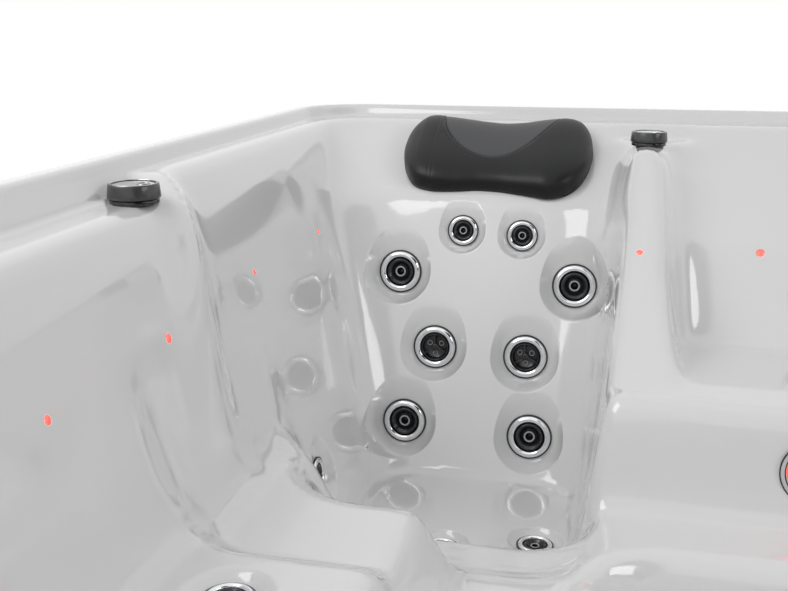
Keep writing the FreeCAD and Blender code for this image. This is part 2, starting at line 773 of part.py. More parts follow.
# Headrests
def pillow_section(x, near, far, thick):
    """One closed section of a pillow: a flat underside, a round at each end and a crown between them."""
    rise = pillow_end_rise_share * thick
    reach = pillow_end_share * (far - near)
    bulge = pillow_bulge_share * (far - near)

    def at(along, out):
        return V(x, along, out)
    near_low, far_low = at(near + reach, 0), at(far - reach, 0)
    near_top, far_top = at(near + reach, thick - bulge / 2), at(far - reach, thick - bulge / 2)
    return Part.Wire([
        Part.LineSegment(near_low, far_low).toShape(),
        Part.Arc(far_low, at(far, rise * 2 / 3), far_top).toShape(),
        Part.Arc(far_top, at((near + far) / 2, thick), near_top).toShape(),
        Part.Arc(near_top, at(near, rise * 2 / 3), near_low).toShape(),
    ])


def make_pillow():
    """The rear left headrest, lofted through its sections and laid on its shoulder."""
    wires = []
    for station, near, far, thick in pillow_section_shares:
        wires.append(pillow_section(station * pillow_wide / 2, near * pillow_deep, far * pillow_deep,
                                    thick * pillow_thick))
    body = Part.makeLoft(wires, True, False)
    foot, up, out = shoulder_frame()
    turn = FreeCAD.Rotation(X_AXIS, up, out, "ZXY")
    body.Placement = FreeCAD.Placement(foot + out * fit, turn)
    for at, axis in peg_places():
        body = body.cut(Part.makeCylinder(peg_r + fit, peg_length / 2 + fit, at - axis * fit, axis))
    return body


def save_pillows():
    pillow = make_pillow()
    save("headrest_pillow", pillow)
    save("other_pillows", *[mirrored(pillow, right, front) for right, front in bucket_corners[1:]])
    pegs = []
    for right, front in bucket_corners:
        for at, axis in peg_places():
            peg = Part.makeCylinder(peg_r, peg_length / 2 + wall, at - axis * wall, axis)
            pegs.append(mirrored(peg, right, front))
    save("pillow_pegs", *pegs)


# Filter: a lid hinged over the bay, and a cartridge that screws into its floor
lid_thick = 7.0
lid_margin = 7.0
hinge_r = 3.5
pin_r = 1.8
hinge_bracket = 12.0
cartridge_r = 74.0
cartridge_cap_r = 80.0
cartridge_height = 240.0
cartridge_cap = 12.0
cartridge_core_r = 26.0
pleat_count = 24
pleat_r = 4.0


def lid_frame():
    """The lid's sides (x0, x1, y1), and its hinge's line (y, z)."""
    x0, x1, y0, y1 = [s * half_side for s in bay_shares]
    return x0 - lid_margin, x1 + lid_margin, y1 + lid_margin, y0 - lid_margin, deck_z + fit + hinge_r


def save_filter():
    x0, x1, y1, hinge_y, hinge_z = lid_frame()
    lid_z = deck_z + fit
    lid = box(x0, x1, hinge_y, y1, lid_z, lid_z + lid_thick)
    lid = lid.fuse(Part.makeCylinder(hinge_r, x1 - x0, V(x0, hinge_y, hinge_z), X_AXIS))
    bore = Part.makeCylinder(pin_r + shaft_gap, x1 - x0, V(x0, hinge_y, hinge_z), X_AXIS)
    grip_x = (x0 + x1) / 2
    grip = Part.makeCylinder(lid_thick * 2, lid_thick, V(grip_x, y1, lid_z))
    save("filter_lid", lid.cut(bore).cut(grip))
    brackets = []
    for edge, out in ((x0, -1), (x1, 1)):
        a, b = sorted((edge + out * run_gap, edge + out * hinge_bracket))
        brackets.append(box(a, b, hinge_y - hinge_r, hinge_y + hinge_r, deck_z, hinge_z + hinge_r))
    pin_end = V(x0 - hinge_bracket / 2, hinge_y, hinge_z)
    pin = Part.makeCylinder(pin_r, x1 - x0 + hinge_bracket, pin_end, X_AXIS)
    save("lid_hinge", brackets[0].multiFuse([brackets[1], pin]))
    bx0, bx1, by0, by1 = [s * half_side for s in bay_shares]
    mid = V((bx0 + bx1) / 2, (by0 + by1) / 2, bay_floor_share * rim_height + run_gap)
    body = Part.makeCylinder(cartridge_r, cartridge_height, mid)
    for i in range(pleat_count):
        turn = 2 * math.pi * i / pleat_count
        at = mid + V(cartridge_r * math.cos(turn), cartridge_r * math.sin(turn), cartridge_cap)
        body = body.cut(Part.makeCylinder(pleat_r, cartridge_height - 2 * cartridge_cap, at))
    top = mid + V(0, 0, cartridge_height - cartridge_cap)
    body = body.fuse(Part.makeCylinder(cartridge_cap_r, cartridge_cap, top))
    save("filter_cartridge", body.cut(Part.makeCylinder(cartridge_core_r, cartridge_height, mid)))


# The control panel on the right ledge, with its sprung buttons
panel_share = (0.9235, -0.3)
panel_wide = 58.0
panel_long = 200.0
panel_high = 9.0
panel_round = 8.0
button_r = 11.0
button_stroke = 2.0
button_rise = 3.0
button_spread = 44.0
BUTTONS = ("pump_button", "light_button", "heat_button")


def save_controls():
    cx, cy = [s * half_side for s in panel_share]
    body = box(cx - panel_wide / 2, cx + panel_wide / 2, cy - panel_long / 2, cy + panel_long / 2,
               ledge_z, ledge_z + panel_high)
    edges = [e for e in body.Edges if abs(e.BoundBox.ZLength - panel_high) < level_slack]
    body = body.makeFillet(panel_round, edges)
    well_floor = ledge_z + panel_high - button_rise - button_stroke - run_gap
    top = ledge_z + panel_high
    for i, name in enumerate(BUTTONS):
        y = cy + (i - 1) * button_spread
        body = body.cut(Part.makeCylinder(button_r + run_gap, panel_high, V(cx, y, well_floor)))
        foot = well_floor + button_stroke + run_gap
        save(name, Part.makeCylinder(button_r, top + button_rise - foot, V(cx, y, foot)))
    save("topside_panel", body)


# Suctions and the drain's cover in the footwell
cover_thick = 8.0
cover_hole_r = 5.0
cover_hole_count = 8
cover_hole_share = 0.6
neck_length = 45.0


def grille(cover_r, neck_r):
    """A pierced cover on a hollow neck, its back at zero and its face along +Z."""
    shape = Part.makeCylinder(cover_r, cover_thick, V(0, 0, fit))
    shape = shape.fuse(Part.makeCylinder(neck_r, neck_length, V(0, 0, fit - neck_length)))
    shape = shape.cut(Part.makeCylinder(neck_r - housing_wall, neck_length, V(0, 0, -neck_length)))
    for i in range(cover_hole_count):
        turn = 2 * math.pi * i / cover_hole_count
        place = cover_hole_share * (neck_r - cover_hole_r)
        at = V(place * math.cos(turn), place * math.sin(turn), -fit)
        shape = shape.cut(Part.makeCylinder(cover_hole_r / 2, 2 * cover_thick, at))
    return shape


def drain_place():
    low = sized(footwell_shares)[0]
    return V(0, low[2] / 2, low[4])


def save_covers():
    cover = grille(suction_r, suction_neck_r)
    save("suction_covers", *[placed(cover, *suction_place(side)) for side in (-1, 1)])
    save("floor_drain_cover", placed(grille(drain_r, drain_neck_r), drain_place(), Z_AXIS))


# Cabinet, frame and base
panel_top_gap = 1.5
cabinet_face = half_side - skirt_wall - panel_gap
cabinet_low = base_thick
cabinet_high = rim_height - skirt_depth - panel_top_gap
corner_gap = 1.0
screw_rows = 3
screw_edge = 40.0


def flat_panel(gap):
    """The rear panel, facing +Y, with level grooves across its face, a gap off what it rests on."""
    half = cabinet_face - cabinet_corner - corner_gap
    inner = cabinet_face - panel_thick + gap
    panel = box(-half, half, inner, cabinet_face, cabinet_low + gap, cabinet_high)
    for i in range(1, groove_count + 1):
        z = cabinet_low + (cabinet_high - cabinet_low) * i / (groove_count + 1)
        panel = panel.cut(box(-half, half, cabinet_face - groove_deep, cabinet_face + overrun,
                              z - groove_wide / 2, z + groove_wide / 2))
    return panel


def save_cabinet():
    quarter_turns = {"rear_cabinet_panel": 0, "left_cabinet_panel": 90, "service_panel": 180,
                     "right_cabinet_panel": 270}
    screws = []
    half = cabinet_face - cabinet_corner - screw_edge
    for name, turn in quarter_turns.items():
        side = flat_panel(fit if name == "service_panel" else 0)
        side.rotate(ORIGIN, Z_AXIS, turn)
        if name == "left_cabinet_panel":
            side = side.cut(Part.makeCylinder(spout_r + fit, 4 * panel_thick, drain_spout_start(), X_AXIS))
        if name == "right_cabinet_panel":
            side = side.cut(Part.makeCylinder(gland_r + fit, 4 * panel_thick, gland_start(), X_AXIS))
        save(name, side)
        if name == "service_panel":
            continue
        for x in (-half, half):
            for row in range(screw_rows):
                z = cabinet_low + (cabinet_high - cabinet_low) * (row + 0.5) / screw_rows
                head = Part.makeCylinder(screw_r, screw_head, V(x, cabinet_face, z), Y_AXIS)
                head.rotate(ORIGIN, Z_AXIS, turn)
                screws.append(head)
    save("panel_screws", *screws)
    outer = rounded_block(cabinet_face, cabinet_face, cabinet_low, cabinet_high, cabinet_corner,
                          cabinet_corner)
    inner_r = cabinet_corner - panel_thick
    inner_half = cabinet_face - panel_thick
    outer = outer.cut(rounded_block(inner_half, inner_half, 0, rim_height, inner_r, inner_r))
    keep = cabinet_face - cabinet_corner
    quarter = outer.common(box(keep, half_side, keep, half_side, 0, rim_height))
    corners = []
    for turn in (0, 90, 180, 270):
        corner = quarter.copy()
        corner.rotate(ORIGIN, Z_AXIS, turn)
        corners.append(corner)
    save("cabinet_corners", *corners)


post_out_share = 0.935
mid_post_share = 0.42
rail_top = 820.0
rail_wide = 30.0


def save_frame():
    """Upright posts under the deck, and level rails behind the cabinet's panels."""
    out = post_out_share * half_side
    posts = []
    for sx in (-1, 1):
        for sy in (-1, 1):
            x0, x1 = sorted((sx * out, sx * (out - post_side)))
            y0, y1 = sorted((sy * out, sy * (out - post_side)))
            posts.append(box(x0, x1, y0, y1, base_thick, deck_z - wall))
    save("frame_posts", *posts)
    rails = []
    far = cabinet_face - panel_thick
    near = far - rail_wide
    half = cabinet_face - cabinet_corner - corner_gap
    for low in (base_thick, rail_top - rail_height):
        for turn in (0, 90, 180, 270):
            rail = box(-half, half, near, far, low, low + rail_height)
            rail.rotate(ORIGIN, Z_AXIS, turn)
            rails.append(rail)
    for turn in (0, 90, 180, 270):
        for side in (-1, 1):
            x = side * mid_post_share * half_side
            stud = box(x - post_side / 2, x + post_side / 2, near, far, base_thick + rail_height,
                       rail_top - rail_height)
            stud.rotate(ORIGIN, Z_AXIS, turn)
            rails.append(stud)
    save("frame_rails", *rails)


def save_base():
    half = half_side - base_inset
    save("base_pan", rounded_block(half, half, 0, base_thick, cabinet_corner, cabinet_corner))


# Pump, heater and control box, in the space under the front high seat
pump_share = (-0.24, -0.8, 0.19)        # the middle of the motor's front face, across, along and up
motor_r = 72.0
motor_long = 230.0
motor_fin_r = 76.0
motor_fin_wide = 5.0
motor_fin_count = 8
volute_r = 92.0
volute_wide = 74.0
volute_wall = 7.0
rotor_r = 70.0
rotor_wide = 30.0
shaft_r = 9.0
inlet_r = 26.0
inlet_long = 60.0
outlet_r = 24.0
outlet_long = 130.0
foot_wide = 150.0
foot_thick = 8.0
foot_long = 60.0
blade_count = 6
blade_thick = 4.0


def pump_middle():
    return V(pump_share[0] * half_side, pump_share[1] * half_side, pump_share[2] * rim_height)


def save_pump():
    """A motor along X with its volute on the right, and the rotor turning inside it."""
    at = pump_middle()
    motor = Part.makeCylinder(motor_r, motor_long, at - X_AXIS * motor_long, X_AXIS)
    for i in range(motor_fin_count):
        x = motor_long * (i + 1) / (motor_fin_count + 1)
        motor = motor.fuse(Part.makeCylinder(motor_fin_r, motor_fin_wide, at - X_AXIS * x, X_AXIS))
    middle = at - X_AXIS * (motor_long / 2)
    motor = motor.cut(Part.makeCylinder(shaft_r + shaft_gap, motor_long / 2, middle, X_AXIS))
    save("pump_motor", motor)
    volute = Part.makeCylinder(volute_r, volute_wide, at, X_AXIS)
    volute = volute.fuse(Part.makeCylinder(inlet_r, inlet_long, at + X_AXIS * volute_wide, X_AXIS))
    spout = at + V(volute_wide / 2, volute_r - outlet_r - volute_wall, 0)
    volute = volute.fuse(Part.makeCylinder(outlet_r, outlet_long, spout, Z_AXIS))
    chamber = Part.makeCylinder(volute_r - volute_wall, volute_wide - 2 * volute_wall,
                                at + X_AXIS * volute_wall, X_AXIS)
    volute = volute.cut(chamber)
    bore_r = inlet_r - volute_wall
    inlet = Part.makeCylinder(bore_r, inlet_long + volute_wide, at + X_AXIS * (volute_wide / 2), X_AXIS)
    volute = volute.cut(inlet)
    volute = volute.cut(Part.makeCylinder(outlet_r - volute_wall, outlet_long + overrun, spout, Z_AXIS))
    volute = volute.cut(Part.makeCylinder(shaft_r + run_gap, volute_wide / 2, at, X_AXIS))
    save("pump_volute", volute)
    rotor_at = at + X_AXIS * (volute_wide / 2 - rotor_wide / 2)
    rotor = Part.makeCylinder(rotor_r, blade_thick, rotor_at, X_AXIS)
    for i in range(blade_count):
        blade = Part.makeBox(rotor_wide, blade_thick, rotor_r, rotor_at - V(0, blade_thick / 2, 0))
        blade.rotate(at, X_AXIS, 360 * i / blade_count)
        rotor = rotor.fuse(blade)
    rotor = rotor.common(Part.makeCylinder(rotor_r, volute_wide, at, X_AXIS))
    shaft = Part.makeCylinder(shaft_r, volute_wide / 2 + motor_long / 4,
                              at - X_AXIS * (motor_long / 4), X_AXIS)
    save("pump_rotor", rotor.fuse(shaft))
    feet = []
    for x in (-motor_long + foot_long, -foot_long):
        foot = box(at.x + x - foot_long / 2, at.x + x + foot_long / 2, at.y - foot_wide / 2,
                   at.y + foot_wide / 2, base_thick, at.z - motor_r / 2)
        notch = foot.common(box(at.x + x - foot_long, at.x + x + foot_long,
                                at.y - foot_wide / 2 + foot_thick, at.y + foot_wide / 2 - foot_thick,
                                base_thick + foot_thick, at.z - motor_fin_r))
        foot = foot.cut(notch)
        start = V(at.x + x - foot_long, at.y, at.z)
        feet.append(foot.cut(Part.makeCylinder(motor_fin_r + fit, 2 * foot_long, start, X_AXIS)))
    save("pump_feet", *feet)


water_pipe_r = 24.0
pipe_wall = 3.0
heater_share = (-0.2, 0.16, -0.66, 0.46)        # its ends across, then along and up
heater_r = 34.0
heater_wall = 3.0
heater_flange_r = 44.0
heater_flange = 10.0
box_share = (0.06, 0.36, -0.94, -0.8, 0.07, 0.34)
box_wall = 4.0
box_lid = 6.0


def save_heater_and_box():
    x0, x1, y, z = heater_share[0] * half_side, heater_share[1] * half_side, heater_share[2] * half_side, \
        heater_share[3] * rim_height
    body = tube(heater_r, heater_r - heater_wall, x1 - x0, V(x0, y, z), X_AXIS)
    for x in (x0, x1 - heater_flange):
        body = body.fuse(tube(heater_flange_r, water_pipe_r - pipe_wall, heater_flange, V(x, y, z), X_AXIS))
    save("heater_tube", body)
    bx0, bx1, by0, by1 = [s * half_side for s in box_share[:4]]
    bz0, bz1 = base_thick, box_share[5] * rim_height
    case = box(bx0, bx1, by0, by1, bz0, bz1)
    case = case.cut(box(bx0 + box_wall, bx1 - box_wall, by0 + box_lid, by1 - box_wall,
                        bz0 + box_wall, bz1 - box_wall))
    save("control_box", case)


# Pipes: straight runs with ball joints between them, hollow all along


def run_of(points, r):
    shapes = []
    for a, b in zip(points, points[1:]):
        shapes.append(Part.makeCylinder(r, (b - a).Length, a, b - a))
    shapes += [Part.makeSphere(r, p) for p in points[1:-1]]
    return shapes[0].multiFuse(shapes[1:])


def pipe(points, r, thick):
    """A hollow pipe through its points, open at both ends."""
    start, end = points[0], points[-1]
    inner = [start - (points[1] - start).normalize() * overrun] + points[1:-1]
    inner.append(end + (end - points[-2]).normalize() * overrun)
    return run_of(points, r).cut(run_of(inner, r - thick))


def save_pipes():
    at = pump_middle()
    inlet = at + X_AXIS * (volute_wide + inlet_long)
    outlet = at + V(volute_wide / 2, volute_r - outlet_r - volute_wall, outlet_long)
    hx0, hx1 = heater_share[0] * half_side, heater_share[1] * half_side
    hy, hz = heater_share[2] * half_side, heater_share[3] * rim_height
    bend = 2 * water_pipe_r
    riser = [outlet, V(outlet.x, outlet.y, hz), V(hx0 - bend, outlet.y, hz), V(hx0 - bend, hy, hz),
             V(hx0, hy, hz)]
    suction, facing = suction_place(1)
    neck = suction - facing * (neck_length - fit)
    low = sized(footwell_shares)[0]
    return_x = neck.x + bend
    drop = V(return_x, neck.y, base_thick + bend)
    feed = [neck, V(return_x, neck.y, neck.z - (return_x - neck.x) * facing.z / facing.x * -1), drop,
            V(return_x, low[2] - 2 * bend, drop.z), V(inlet.x + bend, low[2] - 2 * bend, drop.z),
            V(inlet.x + bend, inlet.y, drop.z), V(inlet.x + bend, inlet.y, inlet.z), inlet]
    save("water_pipes", pipe(riser, water_pipe_r, pipe_wall), pipe(feed, water_pipe_r, pipe_wall))


# The drain's spout through the left panel with its screwed cap, and the power gland through the right one
spout_share = (-0.7, 0.125)
spout_r = 14.0
spout_bore_r = 9.0
spout_out = 10.0
spout_in = 60.0
cap_r = 22.0
cap_wall = 4.0
cap_long = 13.0
gland_share = (0.6, 0.14)
gland_r = 14.0
gland_head_r = 20.0
gland_out = 14.0
gland_in = 30.0
gland_bore_r = 7.0


def drain_spout_start():
    return V(-cabinet_face - panel_thick, spout_share[0] * half_side, spout_share[1] * rim_height)


def gland_start():
    return V(cabinet_face - 2 * panel_thick, gland_share[0] * half_side, gland_share[1] * rim_height)


def save_outlets():
    face = V(-cabinet_face, spout_share[0] * half_side, spout_share[1] * rim_height)
    spout = tube(spout_r, spout_bore_r, spout_in + spout_out, face - X_AXIS * spout_out, X_AXIS)
    spout = spout.fuse(tube(cap_r, spout_bore_r, cap_wall, face + X_AXIS * panel_thick, X_AXIS))
    save("drain_valve", spout)
    cap = Part.makeCylinder(cap_r, cap_long, face - X_AXIS * (spout_out + cap_wall + run_gap), X_AXIS)
    cap = cap.cut(Part.makeCylinder(spout_r + fit, cap_long, face - X_AXIS * (spout_out + run_gap), X_AXIS))
    save("drain_cap", cap)
    face = V(cabinet_face, gland_share[0] * half_side, gland_share[1] * rim_height)
    gland = Part.makeCylinder(gland_r, gland_in + gland_out, face - X_AXIS * gland_in, X_AXIS)
    gland = gland.fuse(Part.makeCylinder(gland_head_r, gland_out, face, X_AXIS))
    bore = Part.makeCylinder(gland_bore_r, 2 * (gland_in + gland_out), face - X_AXIS * gland_in, X_AXIS)
    save("power_gland", gland.cut(bore))


save("acrylic_shell", make_shell())
save_jets()
save_lights()
save_knobs()
save_pillows()
save_filter()
save_controls()
save_covers()
save_cabinet()
save_frame()
save_base()
save_pump()
save_heater_and_box()
save_pipes()
save_outlets()
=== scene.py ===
# A six-seat acrylic hot tub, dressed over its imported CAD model. Metres, Z up, +Y rear, +X right.
import bpy
import bmesh
import json
import math
import numpy as np
from mathutils import Matrix, Vector


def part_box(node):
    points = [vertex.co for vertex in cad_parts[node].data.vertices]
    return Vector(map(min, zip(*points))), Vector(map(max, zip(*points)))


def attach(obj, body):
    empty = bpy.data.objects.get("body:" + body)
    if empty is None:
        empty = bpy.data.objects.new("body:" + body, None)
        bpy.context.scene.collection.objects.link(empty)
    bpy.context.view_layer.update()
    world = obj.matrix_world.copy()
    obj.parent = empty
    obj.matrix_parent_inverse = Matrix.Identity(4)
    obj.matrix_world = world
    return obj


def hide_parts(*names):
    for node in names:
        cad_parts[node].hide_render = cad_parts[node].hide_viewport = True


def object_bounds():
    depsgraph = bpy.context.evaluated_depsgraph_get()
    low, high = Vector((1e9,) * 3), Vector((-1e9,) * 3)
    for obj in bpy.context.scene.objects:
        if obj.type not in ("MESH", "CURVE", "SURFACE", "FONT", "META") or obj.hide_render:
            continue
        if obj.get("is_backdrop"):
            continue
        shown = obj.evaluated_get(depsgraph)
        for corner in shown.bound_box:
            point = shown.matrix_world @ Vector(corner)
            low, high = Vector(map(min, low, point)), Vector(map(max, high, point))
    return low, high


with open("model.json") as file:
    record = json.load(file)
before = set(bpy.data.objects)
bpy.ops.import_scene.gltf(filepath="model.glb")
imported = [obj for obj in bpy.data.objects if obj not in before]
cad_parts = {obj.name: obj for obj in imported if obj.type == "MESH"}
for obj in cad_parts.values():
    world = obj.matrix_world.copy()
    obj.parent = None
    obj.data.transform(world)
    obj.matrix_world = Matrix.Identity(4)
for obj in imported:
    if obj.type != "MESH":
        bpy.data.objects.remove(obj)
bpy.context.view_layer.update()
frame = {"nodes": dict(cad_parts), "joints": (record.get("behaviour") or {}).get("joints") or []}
NODES = frame["nodes"]
JOINTS = {joint["child"]: joint for joint in frame["joints"]}


# The shell: one sheet of white acrylic drawn hot into its seats, footwell and ledges, and trimmed round a
# rolled rim. It is the lowest of the pockets pressed into a flat deck, with every edge softened; a scoop is
# sunk at each jet, and the filter's bay is a box let into the deck.
HALF_SIDE = 1.1
RIM_HEIGHT = 0.9
DECK_Z = 0.876
DECK_HALF = 1.056
DECK_CORNER = 0.106
LEDGE_SHARE = 0.85 / RIM_HEIGHT
# Each pocket's low and high rectangle as (x0, x1, y0, y1, z), and its corner radii low and high: shares of
# half the side across, and of the rim's height up
footwell_shares = (
    (-0.318, 0.318, -0.418, 0.114, 0.133), (-0.4, 0.4, -0.491, 0.182, 0.422), (0.082, 0.109))
middle_shares = ((-0.545, 0.545, -0.545, 0.291, 0.409), (-0.6, 0.6, -0.582, 0.314, 0.606), (0.082, 0.1))
upper_middle_shares = (
    (-0.773, 0.773, -0.6, 0.364, 0.594), (-0.873, 0.873, -0.727, 0.738, 0.978), (0.082, 0.155))
bucket_shares = ((-0.751, -0.402, 0.198, 0.534, 0.3), (-0.88, -0.371, 0.145, 0.727, 0.833), (0.08, 0.109))
lap_shares = ((-0.7, -0.382, 0.1, 0.285, 0.4), (-0.8, -0.375, 0.018, 0.382, 0.63), (0.091, 0.118))
lip_shares = ((-0.785, -0.5, -0.11, 0.2, 0.53), (-0.84, -0.455, -0.15, 0.26, 0.64), (0.06, 0.08))
shoulder_shares = (
    (-0.871, -0.375, 0.136, 0.716, 0.828), (-0.929, -0.364, 0.109, 0.932, 0.978), (0.068, 0.082))
shelf_shares = ((-0.805, -0.545, -0.036, 0.473, 0.547), (-0.887, -0.473, 0.082, 0.636, 0.833), (0.073, 0.1))
side_seat_shares = (
    (-0.8, -0.436, -0.582, -0.055, 0.556), (-0.895, -0.4, -0.655, 0.102, 0.944), (0.04, 0.027))
side_ledge_shares = (
    (-0.962, -0.455, -0.673, 0.118, LEDGE_SHARE), (-0.967, -0.455, -0.682, 0.127, 0.978), (0.027, 0.031))
high_seat_shares = ((-0.282, 0.282, 0.227, 0.582, 0.6), (-0.3, 0.3, 0.2, 0.664, 0.778), (0.064, 0.073))
high_shoulder_shares = (
    (-0.296, 0.296, 0.236, 0.659, 0.772), (-0.314, 0.314, 0.182, 0.918, 0.978), (0.071, 0.136))
pillar_ledge_shares = (
    (-0.391, -0.255, 0.718, 0.9, LEDGE_SHARE), (-0.4, -0.245, 0.709, 0.909, 0.978), (0.027, 0.031))
BUCKET_CORNERS = [(False, False), (True, False), (True, True)]
PILLAR_CORNERS = [(False, False), (True, True)]


def turned_over(shares, right, front):
    """The pocket's mirror image in another corner."""
    rects = []
    for x0, x1, y0, y1, z in shares[:2]:
        if right:
            x0, x1 = -x1, -x0
        if front:
            y0, y1 = -y1, -y0
        rects.append((x0, x1, y0, y1, z))
    return (*rects, shares[2])


def all_pockets():
    """Every pocket of the well, those of the mirrored corners included."""
    pockets = [footwell_shares, middle_shares, upper_middle_shares, high_seat_shares, high_shoulder_shares]
    for right, front in BUCKET_CORNERS:
        pockets += [turned_over(shares, right, front)
                    for shares in (bucket_shares, lap_shares, shoulder_shares, shelf_shares, lip_shares)]
    for right in (False, True):
        pockets += [turned_over(shares, right, False) for shares in (side_seat_shares, side_ledge_shares)]
    pockets += [turned_over(pillar_ledge_shares, right, front) for right, front in PILLAR_CORNERS]
    return pockets


def outside_by(x, y, low, high, r_low, r_high, t):
    """How far points are outside a pocket's rounded rectangle at the share t of its height."""
    x0, x1, y0, y1 = [a + (b - a) * t for a, b in zip(low[:4], high[:4])]
    r = r_low + (r_high - r_low) * t
    dx = np.abs(x - (x0 + x1) / 2) - (x1 - x0) / 2 + r
    dy = np.abs(y - (y0 + y1) / 2) - (y1 - y0) / 2 + r
    return np.hypot(np.maximum(dx, 0), np.maximum(dy, 0)) + np.minimum(np.maximum(dx, dy), 0) - r


HALVINGS = 16
ON_FLOOR = 1e-4
FAR_ABOVE = 9.0


def pocket_height(x, y, shares):
    """The height of a pocket's surface over points of the plan, and far above the deck outside it."""
    low, high = [[s * HALF_SIDE for s in rect[:4]] + [rect[4] * RIM_HEIGHT] for rect in shares[:2]]
    r_low, r_high = [s * HALF_SIDE for s in shares[2]]
    start, end = np.zeros_like(x), np.ones_like(x)
    for _ in range(HALVINGS):
        middle = (start + end) / 2
        out = outside_by(x, y, low, high, r_low, r_high, middle) > 0
        start = np.where(out, middle, start)
        end = np.where(out, end, middle)
    t = (start + end) / 2
    height = low[4] + (high[4] - low[4]) * np.where(t < ON_FLOOR, 0, t)
    return np.where(outside_by(x, y, low, high, r_low, r_high, 1.0) > 0, FAR_ABOVE, height)


def blurred(field, sigma, step):
    """The field smoothed by a bell of this width along both ways."""
    reach = int(3 * sigma / step)
    bell = np.exp(-0.5 * (np.arange(-reach, reach + 1) * step / sigma) ** 2)
    bell /= bell.sum()
    for axis in (0, 1):
        padded = np.pad(field, [(reach, reach) if a == axis else (0, 0) for a in (0, 1)], mode="edge")
        field = sum(w * np.take(padded, np.arange(k, k + field.shape[axis]), axis)
                    for k, w in enumerate(bell))
    return field


PLAN_STEP = 0.005
ROUNDING = 0.011
plan = np.arange(-HALF_SIDE, HALF_SIDE + PLAN_STEP / 2, PLAN_STEP)
PLAN_X, PLAN_Y = np.meshgrid(plan, plan, indexing="ij")
HEIGHTS = np.full_like(PLAN_X, DECK_Z)
for shares in all_pockets():
    HEIGHTS = np.minimum(HEIGHTS, pocket_height(PLAN_X, PLAN_Y, shares))
HEIGHTS = blurred(HEIGHTS, ROUNDING, PLAN_STEP)
LAST_CELL = len(plan) - 1.001


def height_at(x, y):
    """The shell's height over points of the plan, between the plan's grid points."""
    u = np.clip((x + HALF_SIDE) / PLAN_STEP, 0, LAST_CELL)
    v = np.clip((y + HALF_SIDE) / PLAN_STEP, 0, LAST_CELL)
    i, j = u.astype(int), v.astype(int)
    fu, fv = u - i, v - j
    return (HEIGHTS[i, j] * (1 - fu) * (1 - fv) + HEIGHTS[i + 1, j] * fu * (1 - fv)
            + HEIGHTS[i, j + 1] * (1 - fu) * fv + HEIGHTS[i + 1, j + 1] * fu * fv)


def deck_outline(count):
    """Points evenly along the front quarter of the deck's rounded outline, from corner to corner."""
    core = DECK_HALF - DECK_CORNER
    arc = DECK_CORNER * math.pi / 4
    points = []
    for k in range(count + 1):
        s = k / count * 2 * (core + arc)
        if arc <= s < arc + 2 * core:
            points.append((-core + s - arc, -DECK_HALF))
            continue
        first = s < arc
        start, along = (225, s) if first else (270, s - arc - 2 * core)
        a = math.radians(start) + along / DECK_CORNER
        middle = -core if first else core
        points.append((middle + DECK_CORNER * math.cos(a), -core + DECK_CORNER * math.sin(a)))
    return np.array(points)


EVEN_STEP = 0.45


def even_grid(count, rounds):
    """A square grid of plan points whose edge is the deck's outline, spaced evenly along the surface."""
    side = deck_outline(count)
    turn = [np.array([[math.cos(a), -math.sin(a)], [math.sin(a), math.cos(a)]])
            for a in (0, math.pi / 2, math.pi, -math.pi / 2)]
    front, right, rear, left = [side @ m.T for m in turn]
    rear, left = rear[::-1], left[::-1]
    share = np.linspace(0, 1, count + 1)
    u, v = share[:, None, None], share[None, :, None]
    grid = ((1 - v) * front[:, None] + v * rear[:, None] + (1 - u) * left[None] + u * right[None]
            - (1 - u) * (1 - v) * front[0] - u * (1 - v) * front[-1]
            - (1 - u) * v * rear[0] - u * v * rear[-1])
    for _ in range(rounds):
        solid = np.dstack([grid, height_at(grid[..., 0], grid[..., 1])])
        inner = grid[1:-1, 1:-1]
        pull, weight = np.zeros_like(inner), np.zeros(inner.shape[:2] + (1,))
        for near in (solid[2:, 1:-1], solid[:-2, 1:-1], solid[1:-1, 2:], solid[1:-1, :-2]):
            length = np.linalg.norm(near - solid[1:-1, 1:-1], axis=2, keepdims=True)
            pull += length * near[..., :2]
            weight += length
        grid[1:-1, 1:-1] += EVEN_STEP * (pull / weight - inner)
    return grid


def laid_sheet(count, rounds):
    """An even sheet of faces laid over the well and deck."""
    grid = even_grid(count, rounds)
    heights = height_at(grid[..., 0], grid[..., 1])
    bm = bmesh.new()
    bmesh.ops.create_grid(bm, x_segments=count, y_segments=count, size=1)
    for vert in bm.verts:
        i, j = round((vert.co.x + 1) / 2 * count), round((vert.co.y + 1) / 2 * count)
        vert.co = (*grid[i, j], heights[i, j])
    return bm


BIG_RING_R = 0.039
SMALL_RING_R = 0.028
GASKET_THICK = 0.001
GASKET_LARGE = 1.06 * (BIG_RING_R + SMALL_RING_R) / 2
SAME_POINT_DIGITS = 5


def separate_parts(node):
    """The points of each separate solid of a CAD node, as arrays."""
    mesh = NODES[node].data
    owner = list(range(len(mesh.vertices)))
    places = {}
    for vert in mesh.vertices:
        key = tuple(round(c, SAME_POINT_DIGITS) for c in vert.co)
        owner[vert.index] = places.setdefault(key, vert.index)

    def root(i):
        while owner[i] != i:
            owner[i] = owner[owner[i]]
            i = owner[i]
        return i

    for edge in mesh.edges:
        a, b = (root(i) for i in edge.vertices)
        owner[max(a, b)] = min(a, b)
    groups = {}
    for vert in mesh.vertices:
        groups.setdefault(root(vert.index), []).append(vert.co[:])
    return [np.array(group) for group in groups.values()]


ACROSS_WELL = Vector((-0.3, -1.0, -0.2))
ABOVE_WELL = Vector((0, 0, 0.6))
LEAN_UP = Vector((0, 0, 0.4))


def into_the_well(place, axis):
    """The axis, or its opposite, whichever looks across and up into the well from a place on the shell."""
    way = (ACROSS_WELL * place + ABOVE_WELL).normalized() + LEAN_UP
    return axis if axis.dot(way) >= 0 else -axis


